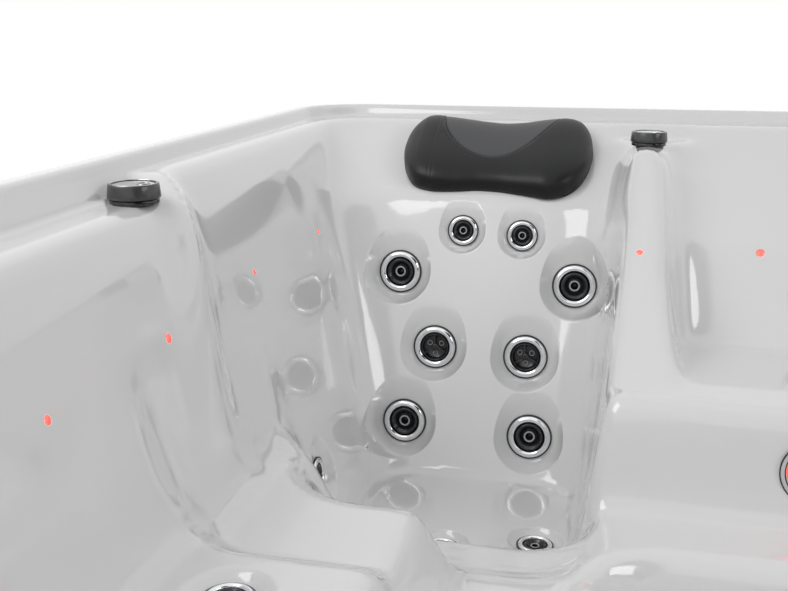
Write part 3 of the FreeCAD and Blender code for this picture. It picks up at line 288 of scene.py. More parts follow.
# Every jet's middle on its scoop's floor, its axis and its ring's radius, from the gaskets under the rings
JETS = []
for points in separate_parts("jet_gaskets"):
    middle = points.mean(0)
    axis = into_the_well(Vector(middle), Vector(np.linalg.svd(points - middle)[2][2]))
    large = np.linalg.norm(points - middle, axis=1).max() > GASKET_LARGE
    JETS.append((Vector(middle) - axis * (GASKET_THICK / 2), axis, BIG_RING_R if large else SMALL_RING_R))


PHOTO_SEAT_X = -0.2
PHOTO_SEAT_Y = 0.1


def near_photo(place):
    """Whether a jet is in the rear left seat, which the photograph shows close."""
    return place.x < PHOTO_SEAT_X and place.y > PHOTO_SEAT_Y


# A scoop's floor, and how far its edge reaches to the side, up and down, in shares of the ring's radius
SCOOP_INNER = 1.18
SCOOP_SIDE = 1.62
SCOOP_TOP = 2.4
SCOOP_BOTTOM = 1.55
SCOOP_CURVE = 1.5
SCOOP_NEAR = 3.0
LEVEL_AXIS = 0.9
NO_REACH = 1e-9


def scoop_reach(points, jet):
    """Each point's distance from the jet's axis, its height off the jet's plane, and how far away the
    egg-shaped edge of the scoop is that way."""
    at, axis, ring_r = jet
    in_wall = axis.z < LEVEL_AXIS
    away = points - np.array(at)
    along = away @ np.array(axis)
    side = Vector((0, 0, 1)).cross(axis).normalized() if in_wall else Vector((1, 0, 0))
    right, up = away @ np.array(side), away @ np.array(axis.cross(side))
    reach = np.hypot(right, up) + NO_REACH
    tall = np.where(up > 0, SCOOP_TOP, SCOOP_BOTTOM) if in_wall else SCOOP_SIDE
    edge = ring_r / np.hypot(right / reach / SCOOP_SIDE, up / reach / tall)
    return reach, along, edge


def sink_scoops(bm):
    """Moves the skin along each jet's axis into its scoop: a flat floor under the ring, and a wall that
    rises to a crisp egg-shaped edge."""
    points = np.array([vert.co for vert in bm.verts])
    for jet in JETS:
        at, axis, ring_r = jet
        near = np.linalg.norm(points - np.array(at), axis=1) < SCOOP_NEAR * ring_r
        reach, along, edge = scoop_reach(points[near], jet)
        floor = SCOOP_INNER * ring_r
        t = np.clip((reach - floor) / (edge - floor), 0, 1)
        sunk = np.maximum(along, 0) * (1 - t ** SCOOP_CURVE)
        points[near] -= sunk[:, None] * np.array(axis)
    for vert, place in zip(bm.verts, points):
        vert.co = place


def drop_to_surface(bm):
    co = np.array([vert.co for vert in bm.verts])
    for vert, z in zip(bm.verts, height_at(co[:, 0], co[:, 1])):
        vert.co.z = z


def make_finer(bm, picked):
    """Halves the picked faces; the deck's own edge stays as it is."""
    edges = [edge for edge in bm.edges if not edge.is_boundary and picked.intersection(edge.link_faces)]
    bmesh.ops.subdivide_edges(bm, edges=edges, cuts=1, use_grid_fill=True)


SHELL_COUNT = 190
SHELL_ROUNDS = 320
FIRST_NEAR = 2.9
SECOND_NEAR = 2.7
EDGE_BAND = 0.001
EDGE_PASSES = 2
HOLE_SHARE = 0.84
HOLE_NEAR = 1.5


def shell_mesh():
    """The deck and well as one skin, finer round the jets, with a scoop at each and a hole under its ring."""
    bm = laid_sheet(SHELL_COUNT, SHELL_ROUNDS)
    photo_jets = [jet for jet in JETS if near_photo(jet[0])]
    for jets, near in ((JETS, FIRST_NEAR), (photo_jets, SECOND_NEAR)):
        make_finer(bm, {face for at, axis, ring_r in jets for face in bm.faces
                        if (face.calc_center_median() - at).length < near * ring_r})
    for _ in range(EDGE_PASSES):
        drop_to_surface(bm)
        picked = set()
        for jet in photo_jets:
            for face in bm.faces:
                if (face.calc_center_median() - jet[0]).length >= FIRST_NEAR * jet[2]:
                    continue
                reach, along, edge = scoop_reach(np.array([vert.co for vert in face.verts]), jet)
                beyond = reach - edge
                if beyond.min() < EDGE_BAND and beyond.max() > -EDGE_BAND:
                    picked.add(face)
        make_finer(bm, picked)
    drop_to_surface(bm)
    sink_scoops(bm)
    gone = {}
    for at, axis, ring_r in JETS:
        for face in bm.faces:
            away = face.calc_center_median() - at
            from_axis = (away - axis * away.dot(axis)).length
            if away.length < HOLE_NEAR * ring_r and from_axis < HOLE_SHARE * ring_r:
                gone[face] = True
    bmesh.ops.delete(bm, geom=list(gone), context="FACES")
    return bm


# The rim's outline, from the deck outwards and down, as (outward, height)
rim_outline = [
    (0.0, 0.876), (0.003, 0.8765), (0.006, 0.8795), (0.009, 0.887), (0.012, 0.8945), (0.016, 0.899),
    (0.021, 0.9), (0.034, 0.9), (0.039, 0.8985), (0.0425, 0.894), (0.044, 0.887), (0.044, 0.86),
    (0.044, 0.835), (0.043, 0.831), (0.040, 0.830), (0.036, 0.8305), (0.036, 0.866)]


def way_out(place, low, high, corner):
    """The way outwards, square to a rounded rectangle's outline, at a point on or near it."""
    inner = [min(max(c, a + corner), b - corner) for c, a, b in zip(place, low, high)]
    return (Vector(place[:2]) - Vector(inner)).normalized()


def draw_out(bm, edges, outline, low, high, corner):
    """Draws the edges out row by row along an outline, square to a rounded rectangle."""
    for (before, _), (offset, height) in zip(outline, outline[1:]):
        made = bmesh.ops.extrude_edge_only(bm, edges=edges)["geom"]
        verts = {item for item in made if isinstance(item, bmesh.types.BMVert)}
        edges = [item for item in made
                 if isinstance(item, bmesh.types.BMEdge) and verts.issuperset(item.verts)]
        for vert in verts:
            way = way_out(vert.co, low, high, corner)
            vert.co = (*(vert.co.xy + way * (offset - before)), height)


def add_rim(bm):
    core = DECK_HALF - DECK_CORNER
    edges = [edge for edge in bm.edges
             if edge.is_boundary and max(abs(c) for c in edge.verts[0].co.xy) > core]
    draw_out(bm, edges, rim_outline, (-DECK_HALF, -DECK_HALF), (DECK_HALF, DECK_HALF), DECK_CORNER)


bay_shares = (-0.86, -0.55, -0.935, -0.765)
BAY_FLOOR = 0.54
BAY_ROUND = 0.03
BAY_CUT = 0.004
BAY_NEAR = 0.1
ON_DECK = 0.87
# The bay's wall and lip, from its floor upwards, as (outward, height)
bay_outline = [
    (-0.02, BAY_FLOOR), (-0.006, BAY_FLOOR + 0.006), (0, BAY_FLOOR + 0.02), (0, DECK_Z - 0.003),
    (0.0005, DECK_Z - 0.001), (0.002, DECK_Z + 0.0002), (0.012, DECK_Z + 0.0002)]
BAY_X0, BAY_X1, BAY_Y0, BAY_Y1 = [share * HALF_SIDE for share in bay_shares]


def deck_faces(bm, margin):
    """The deck's faces over the bay, and this far past its sides."""
    found = []
    for face in bm.faces:
        x, y, z = face.calc_center_median()
        if BAY_X0 - margin < x < BAY_X1 + margin and BAY_Y0 - margin < y < BAY_Y1 + margin and z > ON_DECK:
            found.append(face)
    return found


def open_bay(bm):
    """Cuts the bay's mouth out of the deck."""
    for x, y, way in ((BAY_X0 - BAY_CUT, 0, (1, 0, 0)), (BAY_X1 + BAY_CUT, 0, (1, 0, 0)),
                      (0, BAY_Y0 - BAY_CUT, (0, 1, 0)), (0, BAY_Y1 + BAY_CUT, (0, 1, 0))):
        near = deck_faces(bm, BAY_NEAR)
        geom = dict.fromkeys([part for face in near for part in (*face.edges, *face.verts)] + near)
        bmesh.ops.bisect_plane(bm, geom=list(geom), plane_co=(x, y, 0), plane_no=way)
    bmesh.ops.delete(bm, geom=deck_faces(bm, BAY_CUT), context="FACES")


def bay_lining():
    """The bay's floor, with walls drawn up from its edge to a thin lip on the deck."""
    inset, height = bay_outline[0]
    middle = Matrix.Translation(((BAY_X0 + BAY_X1) / 2, (BAY_Y0 + BAY_Y1) / 2, height))
    size = Matrix.Diagonal((BAY_X1 - BAY_X0 + 2 * inset, BAY_Y1 - BAY_Y0 + 2 * inset, 1, 1))
    bm = bmesh.new()
    bmesh.ops.create_grid(bm, x_segments=1, y_segments=1, size=0.5, matrix=middle @ size)
    bmesh.ops.bevel(bm, geom=bm.verts[:], offset=BAY_ROUND + inset, offset_type="OFFSET", segments=8,
                    affect="VERTICES", profile=0.5, material=-1)
    draw_out(bm, bm.edges[:], bay_outline, (BAY_X0, BAY_Y0), (BAY_X1, BAY_Y1), BAY_ROUND)
    return bm


def finish_mesh(bm, name):
    """The bmesh as a mesh, ready for its piece."""
    mesh = bpy.data.meshes.new(name)
    bm.normal_update()
    bm.to_mesh(mesh)
    bm.free()
    return mesh


def set_inputs(node, *first, **named):
    """Gives a shader node's inputs their values, or links them where the value is another node's output."""
    values = [(node.inputs[k], value) for k, value in enumerate(first)]
    values += [(node.inputs[name.replace("_", " ")], value) for name, value in named.items()]
    for socket, value in values:
        if isinstance(value, bpy.types.NodeSocket):
            node.id_data.links.new(value, socket)
        else:
            socket.default_value = value


def add_node(tree, kind, output, *first, **named):
    """Adds a shader node and returns one of its outputs; names in small letters are its settings."""
    made = tree.nodes.new("ShaderNode" + kind)
    for name in [name for name in named if name.islower()]:
        setattr(made, name, named.pop(name))
    set_inputs(made, *first, **named)
    return made.outputs[output]


COAT_ROUGHNESS = 0.04
GRAIN_DETAIL = 4


def material(name, colour, roughness=0.4, metallic=0.0, coat=0.0, grain=200.0, vary=0.04, bump=0.0,
             rough_vary=0.05, bump_distance=0.0004):
    """A finish with a fine grain of its own in its colour, its gloss and, where asked, its relief."""
    made = bpy.data.materials.new(name)
    made.use_nodes = True
    tree = made.node_tree
    shader = tree.nodes["Principled BSDF"]
    place = add_node(tree, "TexCoord", "Object")
    noise = add_node(tree, "TexNoise", "Fac", Vector=place, Scale=grain, Detail=GRAIN_DETAIL)
    shade = add_node(tree, "MapRange", "Result", Value=noise, To_Min=1 - vary, To_Max=1 + vary)
    tint = add_node(tree, "VectorMath", "Vector", colour, operation="SCALE", Scale=shade)
    gloss = add_node(tree, "MapRange", "Result", Value=noise, To_Min=max(0.0, roughness - rough_vary),
                     To_Max=roughness + rough_vary)
    set_inputs(shader, Base_Color=tint, Roughness=gloss, Metallic=metallic, Coat_Weight=coat,
               Coat_Roughness=COAT_ROUGHNESS)
    if bump:
        set_inputs(shader, Normal=add_node(tree, "Bump", "Normal", Strength=bump, Distance=bump_distance,
                                           Height=noise))
    return made


def add_object(name, bm, finish, body):
    """A bmesh made into a smooth piece that rides a body and takes its finish from a slot."""
    mesh = finish_mesh(bm, name)
    mesh.polygons.foreach_set("use_smooth", [True] * len(mesh.polygons))
    mesh.update()
    piece = bpy.data.objects.new(name, mesh)
    bpy.context.scene.collection.objects.link(piece)
    mesh.materials.append(finish)
    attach(piece, body)
    return piece


WHITE_ACRYLIC = material("white acrylic", (0.80, 0.80, 0.80), 0.13, coat=0.9, grain=3.0, vary=0.015,
                         rough_vary=0.02)
shell_bm = shell_mesh()
add_rim(shell_bm)
open_bay(shell_bm)
bmesh.ops.recalc_face_normals(shell_bm, faces=shell_bm.faces)
shell_bm.from_mesh(finish_mesh(bay_lining(), "bay lining"))
shell = add_object("shell_skin", shell_bm, WHITE_ACRYLIC, "tub")
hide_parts("acrylic_shell")


# The jets: a chromed moulded ring over a thin rubber gasket, and inside it a black moulded nozzle, screwed to
# the body behind the shell. An eyeball nozzle has one outlet in a dished ball, and a turning one has three
# ports round a hub. Outlines are shares of the ring's radius: the scoop's floor is zero, and the axis +Z.
ring_crest_shares = [
    (0.70, -0.20), (0.69, 0.0), (0.70, 0.10), (0.73, 0.165), (0.78, 0.2), (0.84, 0.215), (0.90, 0.2),
    (0.95, 0.165), (0.985, 0.12), (1.0, 0.07), (1.0, 0.05)]
gasket_edge_shares = [(0.93, 0.045), (1.02, 0.045), (1.055, 0.03), (1.06, 0.0)]
socket_wall_shares = [(0.686, 0.03), (0.682, -0.02), (0.68, -0.3)]
# A dished eyeball: its face, the well round its outlet, the pale lip of the outlet and the dark bore
ball_face_shares = [(0.60, -0.27), (0.648, -0.12), (0.66, 0.0), (0.652, 0.09), (0.615, 0.135), (0.575, 0.15)]
bowl_wall_shares = [(0.545, 0.13), (0.44, 0.0), (0.36, -0.095), (0.33, -0.125), (0.30, -0.135)]
outlet_side_shares = [(0.275, -0.12), (0.265, -0.06), (0.26, 0.03)]
outlet_lip_shares = [(0.26, 0.03), (0.25, 0.055), (0.225, 0.065), (0.195, 0.055), (0.185, 0.03)]
outlet_bore_shares = [(0.185, 0.03), (0.175, -0.1), (0.17, -0.4), (0, -0.42)]
# The rotor of a turning jet: a wide dish with a hub, three ports and three arms
rotor_face_shares = [(0.61, -0.26), (0.655, -0.12), (0.665, 0.0), (0.66, 0.1), (0.645, 0.14), (0.62, 0.15)]
rotor_dish_shares = [(0.6, 0.13), (0.575, 0.0), (0.555, -0.1), (0.52, -0.135), (0.1, -0.14), (0, -0.14)]
rotor_hub_shares = [(0.155, -0.14), (0.15, 0.02), (0.135, 0.05), (0.1, 0.06), (0, 0.065)]
port_lip_shares = [(0.13, -0.138), (0.125, -0.11), (0.105, -0.105), (0.095, -0.12)]
port_bore_shares = [(0.095, -0.12), (0.09, -0.2), (0, -0.2)]
ARM_WIDE = 0.085
ARM_START = 0.02
ARM_REACH = 0.6
ARM_ROUND = 0.02
ARM_LOW = -0.14
ARM_HIGH = 0.045
ARM_TURNS = (90, 210, 330)
PORT_PLACE = 0.33
PORT_TURNS = (30, 150, 270)
CREST_ROUND = 0.4
CREST_STEPS = 2
SAME_POINT = 0.000001


def stand(at, axis, size=1.0):
    """The matrix that carries a piece drawn along +Z to a place and an axis, enlarged to a size."""
    spin = Vector((0, 0, 1)).rotation_difference(axis).to_matrix().to_4x4()
    return Matrix.Translation(at) @ spin @ Matrix.Scale(size, 4)


def join(bm, part, matrix):
    """Carries a finished part to its place and adds it to a larger mesh."""
    bmesh.ops.transform(part, matrix=matrix, verts=part.verts)
    carrier = finish_mesh(part, "part")
    bm.from_mesh(carrier)
    bpy.data.meshes.remove(carrier)


def spun(bm, outline, steps, matrix):
    """Adds an outline of (radius, height) turned once round Z; drawn upwards, its faces look away from Z."""
    part = bmesh.new()
    verts = [part.verts.new((radius, 0, height)) for radius, height in outline]
    edges = [part.edges.new(pair) for pair in zip(verts, verts[1:])]
    bmesh.ops.spin(part, geom=verts + edges, axis=(0, 0, 1), cent=(0, 0, 0), dvec=(0, 0, 0), angle=math.tau,
                   steps=steps, use_merge=True)
    bmesh.ops.remove_doubles(part, verts=part.verts, dist=SAME_POINT)
    bmesh.ops.reverse_faces(part, faces=part.faces)
    join(bm, part, matrix)


def rounded(outline, radius_share=0.5, steps=4):
    """An outline with its inner corners rounded; each corner may use this share of its shorter side."""
    points = [Vector(p) for p in outline]
    out = [points[0]]
    for before, corner, after in zip(points, points[1:], points[2:]):
        reach = radius_share * min((corner - before).length, (after - corner).length)
        start = corner + (before - corner).normalized() * reach
        end = corner + (after - corner).normalized() * reach
        for k in range(steps + 1):
            t = k / steps
            out.append(start * (1 - t) ** 2 + corner * 2 * t * (1 - t) + end * t ** 2)
    out.append(points[-1])
    return [(p.x, p.y) for p in out]


def add_arm(bm, turn, matrix):
    """One vane of the rotor: a slim block with a rounded top, set off the hub's middle."""
    arm = bmesh.new()
    middle = Matrix.Translation(((ARM_START + ARM_REACH) / 2, ARM_WIDE / 2, (ARM_LOW + ARM_HIGH) / 2))
    size = Matrix.Diagonal((ARM_REACH - ARM_START, ARM_WIDE, ARM_HIGH - ARM_LOW, 1))
    bmesh.ops.create_cube(arm, size=1, matrix=middle @ size)
    top = [edge for edge in arm.edges if all(vert.co.z > 0 for vert in edge.verts)]
    bmesh.ops.bevel(arm, geom=top, offset=ARM_ROUND, offset_type="OFFSET", segments=2, affect="EDGES",
                    profile=0.5, material=-1)
    join(bm, arm, matrix @ Matrix.Rotation(math.radians(turn), 4, "Z"))


def add_nozzle(black, pale, kind, matrix, steps):
    """Adds one jet's nozzle to the meshes of black and of pale plastic."""
    if kind == "rotary":
        spun(black, rotor_face_shares + rotor_dish_shares, steps, matrix)
        spun(black, rotor_hub_shares, steps // 2, matrix)
        for turn in ARM_TURNS:
            add_arm(black, turn, matrix)
        for turn in PORT_TURNS:
            a = math.radians(turn)
            port = matrix @ Matrix.Translation((PORT_PLACE * math.cos(a), PORT_PLACE * math.sin(a), 0))
            spun(pale, port_lip_shares, steps // 2, port)
            spun(black, port_bore_shares, steps // 2, port)
        return
    spun(black, ball_face_shares + bowl_wall_shares + outlet_side_shares, steps, matrix)
    spun(pale, outlet_lip_shares, steps // 2, matrix)
    spun(black, outlet_bore_shares, steps // 2, matrix)


def add_ring(chrome, black, matrix, steps):
    """Adds one jet's ring to the mesh of chrome, and its gasket's edge and its socket to the black one."""
    spun(chrome, rounded(ring_crest_shares, CREST_ROUND, CREST_STEPS)[::-1], steps, matrix)
    spun(black, gasket_edge_shares[::-1], steps, matrix)
    spun(black, socket_wall_shares[::-1], steps, matrix)


def joint_jet(body):
    """The jet that a moving ring belongs to."""
    place = Vector(JOINTS[body]["pos_m"])
    return min(JETS, key=lambda jet: (jet[0] - place).length)


CHROME = material("chrome", (0.82, 0.83, 0.85), 0.09, metallic=1.0, grain=60, vary=0.03, rough_vary=0.03)
GASKET_BLACK = material("gasket black", (0.008, 0.008, 0.009), 0.5, grain=400, vary=0.2, bump=0.1)
NOZZLE_BLACK = material("nozzle black", (0.014, 0.014, 0.016), 0.24, coat=0.3, grain=250, vary=0.25,
                        bump=0.06)
OUTLET_GREY = material("outlet grey", (0.42, 0.43, 0.45), 0.22, coat=0.4, grain=260, vary=0.1)

# The photographed backrest: each ring and nozzle is a piece of its own; each ring rides its own body, and so
# does each nozzle but the small ones, which ride the tub
STEPS_NEAR = 72
STEPS_FAR = 32
moving_jets = []
for body in sorted(JOINTS):
    if "_ring_" not in body:
        continue
    kind, number = body.split("_ring_")
    at, axis, ring_r = joint_jet(body)
    moving_jets.append(at)
    matrix = stand(at, axis, ring_r)
    chrome, black, nozzle_black, pale = [bmesh.new() for _ in range(4)]
    add_ring(chrome, black, matrix, STEPS_NEAR)
    add_nozzle(nozzle_black, pale, kind, matrix, STEPS_NEAR)
    ring = add_object(f"{body}_chrome", chrome, CHROME, body)
    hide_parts(body)
    add_object(f"{body}_edge", black, GASKET_BLACK, "tub")
    rider = f"{kind}_nozzle_{number}" if kind != "small" else "tub"
    face = add_object(f"{kind}_{number}_nozzle_face", nozzle_black, NOZZLE_BLACK, rider)
    add_object(f"{kind}_{number}_nozzle_lips", pale, OUTLET_GREY, rider)
    if kind != "small":
        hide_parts(rider)

# Every other jet, in one piece for each finish; the large ones at this height in a backrest are turning ones
TURNING_LOW = 0.46
TURNING_HIGH = 0.49
chrome, black, nozzle_black, pale = [bmesh.new() for _ in range(4)]
for at, axis, ring_r in JETS:
    if at in moving_jets:
        continue
    steps = STEPS_NEAR if near_photo(at) else STEPS_FAR
    matrix = stand(at, axis, ring_r)
    turning = ring_r == BIG_RING_R and TURNING_LOW < at.z < TURNING_HIGH
    add_ring(chrome, black, matrix, steps)
    add_nozzle(nozzle_black, pale, "rotary" if turning else "eyeball", matrix, steps)
rings = add_object("other_jets_chrome", chrome, CHROME, "tub")
faces = add_object("other_jets_nozzles", nozzle_black, NOZZLE_BLACK, "tub")
add_object("other_jets_lips", pale, OUTLET_GREY, "tub")
add_object("other_jets_edges", black, GASKET_BLACK, "tub")
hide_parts("jet_rings")
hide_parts("jet_nozzles")


def dressed(finish, *nodes):
    """Gives CAD nodes whose shape is already right their finish."""
    for node in nodes:
        mesh = NODES[node].data
        mesh.materials.clear()
        mesh.materials.append(finish)


dressed(GASKET_BLACK, "jet_gaskets")


# The point lights: domed red lenses that glow, pale and hot in the middle, each in a clear moulded rim
# pressed into a hole in the shell. The rim's pinkish red is painted light from the lit lens, not its own
# colour.
LED_R = 0.008
LED_STAND = 0.0035
LED_STEPS = 32
LED_FRONT = 0.001
LENS_SHARE = 0.86
led_dome_shares = [(1.0, 0.0), (0.97, 0.2), (0.85, 0.5), (0.6, 0.8), (0.3, 0.96), (0, 1.0)]
# The rim, as (share of the light's radius, height)
led_rim_outline = [(1.0, 0.0), (0.99, 0.001), (0.93, 0.0014), (0.86, 0.001), (0.85, 0.0)]
HEART_END = 0.1
EDGE_START = 0.5


def set_stops(ramp_output, *stops):
    """Sets the two stops of the colour ramp that an output belongs to."""
    for stop, (place, shade) in zip(ramp_output.node.color_ramp.elements, stops):
        stop.position = place
        stop.color = (*shade, 1)


def glow(name, colour, strength, heart, reach):
    """A lit lens: its middle burns pale and its edge is deep red."""
    made = material(name, colour, 0.12, coat=0.6, grain=500, vary=0.1)
    tree = made.node_tree
    facing = add_node(tree, "LayerWeight", "Facing", Blend=reach)
    burning = add_node(tree, "ValToRGB", "Color", Fac=facing)
    set_stops(burning, (HEART_END, heart), (EDGE_START, colour))
    set_inputs(tree.nodes["Principled BSDF"], Emission_Color=burning, Emission_Strength=strength)
    return made


LED_RED = glow("led red", (1.0, 0.02, 0.015), 2.2, (1.0, 0.10, 0.07), 0.3)
# painted glow: the clear rim is coloured pinkish red to stand for the lens's light shining into it
RIM_PAINTED_GLOW = material("led rim with painted glow", (0.8, 0.35, 0.3), 0.2, coat=0.5, grain=400, vary=0.1)
lens_bm, rim_bm = bmesh.new(), bmesh.new()
for points in separate_parts("led_lenses"):
    middle = (points.min(0) + points.max(0)) / 2
    long_way = Vector(np.linalg.svd(points - points.mean(0), full_matrices=False)[2][0])
    axis = into_the_well(Vector(middle), long_way)
    along = points @ np.array(axis)
    front = points[along > along.max() - LED_FRONT].mean(0)
    matrix = stand(Vector(front) - axis * LED_STAND, axis)
    spun(lens_bm, [(r * LED_R * LENS_SHARE, z * LED_STAND) for r, z in led_dome_shares], LED_STEPS, matrix)
    spun(rim_bm, [(r * LED_R, z) for r, z in led_rim_outline], LED_STEPS, matrix)
leds = add_object("led_lens_glow", lens_bm, LED_RED, "tub")
add_object("led_rims", rim_bm, RIM_PAINTED_GLOW, "tub")
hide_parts("led_lenses")


# The underwater light: a ribbed red lens that glows, held in its black housing by a chromed ring. The well's
# middle wall, which it sits in, leans back.
low, high = middle_shares[:2]
LAMP_LEAN = math.atan2((high[3] - low[3]) * HALF_SIDE, (high[4] - low[4]) * RIM_HEIGHT)
LAMP_STAND = 0.004
LAMP_FRONT = 0.0005
LAMP_STEPS = 64
LENS_R = 0.0365
LENS_EDGE = 0.0375
LENS_MIDDLE = 0.003
RIBS = 5
RIB_RISE = 0.0015
RIB_DOME = 0.0025
RIB_ROUND = 0.0004
RIB_SHOULDER = 0.75
lamp_rim_outline = [(0.0472, 0.0), (0.0470, 0.002), (0.0455, 0.0032), (0.042, 0.0036), (0.0385, 0.003),
                    (0.0378, 0.0)]
LAMP_RED = glow("lamp red", (1.0, 0.03, 0.02), 1.2, (1.0, 0.14, 0.09), 0.4)
lamp_axis = Vector((0, -math.cos(LAMP_LEAN), math.sin(LAMP_LEAN)))
lens_points = np.array([vert.co for vert in NODES["main_light_lens"].data.vertices])
along = lens_points @ np.array(lamp_axis)
lamp_front = lens_points[along > along.max() - LAMP_FRONT].mean(0)
lamp_matrix = stand(Vector(lamp_front) - lamp_axis * LAMP_STAND, lamp_axis)
lens_outline = [(LENS_EDGE, 0.0)]
for k in range(RIBS, 0, -1):
    outer, inner = LENS_R * k / RIBS, LENS_R * (k - 1) / RIBS
    rise = RIB_RISE + RIB_DOME * (1 - (k - 0.5) ** 2 / RIBS ** 2)
    lens_outline += [(outer - RIB_ROUND, rise * RIB_SHOULDER), ((outer + inner) / 2, rise),
                     (inner + RIB_ROUND, rise * RIB_SHOULDER)]
lens_outline.append((0, LENS_MIDDLE))
lamp_bm, rim_bm = bmesh.new(), bmesh.new()
spun(lamp_bm, lens_outline, LAMP_STEPS, lamp_matrix)
spun(rim_bm, rounded(lamp_rim_outline), LAMP_STEPS, lamp_matrix)
lamp = add_object("main_light_glow", lamp_bm, LAMP_RED, "tub")
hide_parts("main_light_lens")
add_object("main_light_rim", rim_bm, CHROME, "tub")


# The air control knobs: moulded plastic with a smooth tapered side, a bright rolled edge, and a dished top
# disc with a small grip ring. Each is pushed onto its valve's stem, over a black collar on the ledge.
knob_side = [(0.0305, 0.0066), (0.0335, 0.0070), (0.0340, 0.0085), (0.0337, 0.0120), (0.0322, 0.0235),
             (0.0316, 0.0250), (0.0308, 0.0255), (0.0302, 0.0254)]
knob_edge = [(0.0302, 0.0254), (0.0300, 0.0258), (0.0294, 0.0259), (0.0289, 0.0256), (0.0286, 0.0250)]
knob_trench = [(0.0286, 0.0250), (0.0283, 0.0225), (0.0276, 0.0223), (0.0268, 0.0226)]
disc_outline = [(0.0268, 0.0226), (0.0265, 0.0240), (0.0258, 0.0245), (0.0225, 0.0243), (0.015, 0.0240),
                (0.0, 0.0239)]
grip_outline = [(0.0088, 0.0240), (0.0086, 0.0247), (0.0080, 0.0249), (0.0074, 0.0247), (0.0072, 0.0240)]
collar_outline = [(0.0318, 0.0), (0.032, 0.0045), (0.0315, 0.0056), (0.030, 0.006), (0.02, 0.006)]
GRIP_PLACE = (0.012, 0.004, 0)
LEDGE_Z = 0.85
KNOB_STEPS = 96
GRIP_STEPS = 48
COLLAR_STEPS = 64
KNOB_GREY = material("knob grey", (0.045, 0.046, 0.048), 0.34, coat=0.3, grain=220, vary=0.12, bump=0.04)
KNOB_DISC = material("knob disc", (0.30, 0.30, 0.31), 0.10, metallic=0.8, coat=0.8, grain=120, vary=0.05)
KNOB_EDGE = material("knob edge", (0.5, 0.5, 0.51), 0.12, metallic=1.0, grain=160, vary=0.05)
KNOB_SILVER = material("knob silver", (0.75, 0.75, 0.76), 0.10, metallic=1.0, grain=120, vary=0.04)
COLLAR_BLACK = material("collar black", (0.008, 0.008, 0.009), 0.22, coat=0.5, grain=260, vary=0.2)
collars = bmesh.new()
for name in ("left_knob", "rear_knob", "front_knob"):
    at = Vector(JOINTS[name]["pos_m"])
    place = Matrix.Translation((at.x, at.y, LEDGE_Z))
    side, edge, disc = [bmesh.new() for _ in range(3)]
    spun(side, knob_side, KNOB_STEPS, place)
    spun(side, knob_trench, KNOB_STEPS, place)
    spun(edge, knob_edge, KNOB_STEPS, place)
    spun(disc, disc_outline, KNOB_STEPS, place)
    spun(disc, grip_outline, GRIP_STEPS, place @ Matrix.Translation(GRIP_PLACE))
    spun(collars, collar_outline, COLLAR_STEPS, place)
    slot, top = ("knob_chrome", KNOB_SILVER) if name == "rear_knob" else ("knob_grey", KNOB_DISC)
    knob = add_object(f"{name}_side", side, KNOB_GREY, name)
    add_object(f"{name}_edge", edge, KNOB_EDGE, name)
    add_object(f"{name}_disc", disc, top, name)
    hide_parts(name)
collar_rings = add_object("knob_collar_rings", collars, COLLAR_BLACK, "tub")
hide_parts("knob_collars")


# The headrests: soft skinned foam, moulded with a saddle between two lobes and an inset panel whose crease
# runs up to the top edge. Each is held to its shoulder by two hidden pegs. The rear left one is in the
# photograph, and the other two are its mirror images.
PILLOW_WIDE = 0.374
PILLOW_DEEP = 0.228
PILLOW_THICK = 0.050
# Stations across, each with its near and far edge, and how thick it is, in shares of the half width, the
# depth and the thickness
pillow_plan_shares = [
    (-1.0, 0.56, 0.60, 0.12), (-0.985, 0.47, 0.69, 0.42), (-0.95, 0.34, 0.80, 0.64), (-0.90, 0.24, 0.89, 0.78),
    (-0.84, 0.15, 0.955, 0.88), (-0.78, 0.10, 0.99, 0.95), (-0.70, 0.07, 1.0, 0.98), (-0.57, 0.05, 0.99, 0.97),
    (-0.33, 0.06, 0.97, 0.88), (-0.12, 0.08, 0.945, 0.83), (0.05, 0.075, 0.93, 0.82), (0.25, 0.05, 0.94, 0.86),
    (0.45, 0.02, 0.965, 0.96), (0.57, 0.0, 0.98, 1.0), (0.66, 0.01, 0.99, 0.99), (0.75, 0.04, 0.99, 0.94),
    (0.85, 0.12, 0.96, 0.84), (0.92, 0.23, 0.885, 0.72), (0.965, 0.35, 0.79, 0.58), (0.99, 0.47, 0.69, 0.38),
    (1.0, 0.55, 0.61, 0.12)]
PILLOW_STATIONS = np.array(pillow_plan_shares)


def shade_by(finish, attribute, colour):
    """Lets an attribute of the piece blend its colour towards another."""
    tree = finish.node_tree
    shader = tree.nodes["Principled BSDF"]
    before = shader.inputs["Base Color"].links[0].from_socket
    mask = add_node(tree, "Attribute", "Fac", attribute_name=attribute)
    blend = add_node(tree, "Mix", "Result", data_type="RGBA", Factor=mask, A=before, B=(*colour, 1))
    set_inputs(shader, Base_Color=blend)


def smooth_row(at):
    """A row of the stations' table at a place between them, on a curve that doesn't overshoot."""
    table = PILLOW_STATIONS
    k = int(np.clip(np.searchsorted(table[:, 0], at) - 1, 0, len(table) - 2))
    steps = np.diff(table, axis=0)
    slopes = steps[:, 1:] / steps[:, :1]

    def slope_at(i):
        if i == 0 or i == len(table) - 1:
            return slopes[min(i, len(slopes) - 1)]
        before, after = slopes[i - 1], slopes[i]
        same = before * after > 0
        return np.where(same, 2 * before * after / np.where(same, before + after, 1), 0)

    wide = steps[k, 0]
    t = (at - table[k, 0]) / wide
    rise = steps[k, 1:]
    return (table[k, 1:] + rise * t * t * (3 - 2 * t)
            + wide * (slope_at(k) * (t ** 3 - 2 * t ** 2 + t) + slope_at(k + 1) * (t ** 3 - t ** 2)))


# The inset panel's lower edge: an ellipse on the left, a parabola on the right
PANEL_LOW = 0.33
PANEL_LEFT = 0.605
PANEL_RIGHT = 0.70
PANEL_LEFT_RISE = 0.63
PANEL_RIGHT_RISE = 0.70
PANEL_END = 0.999
PAST_END = 0.001
SLOPE_STEP = 0.002


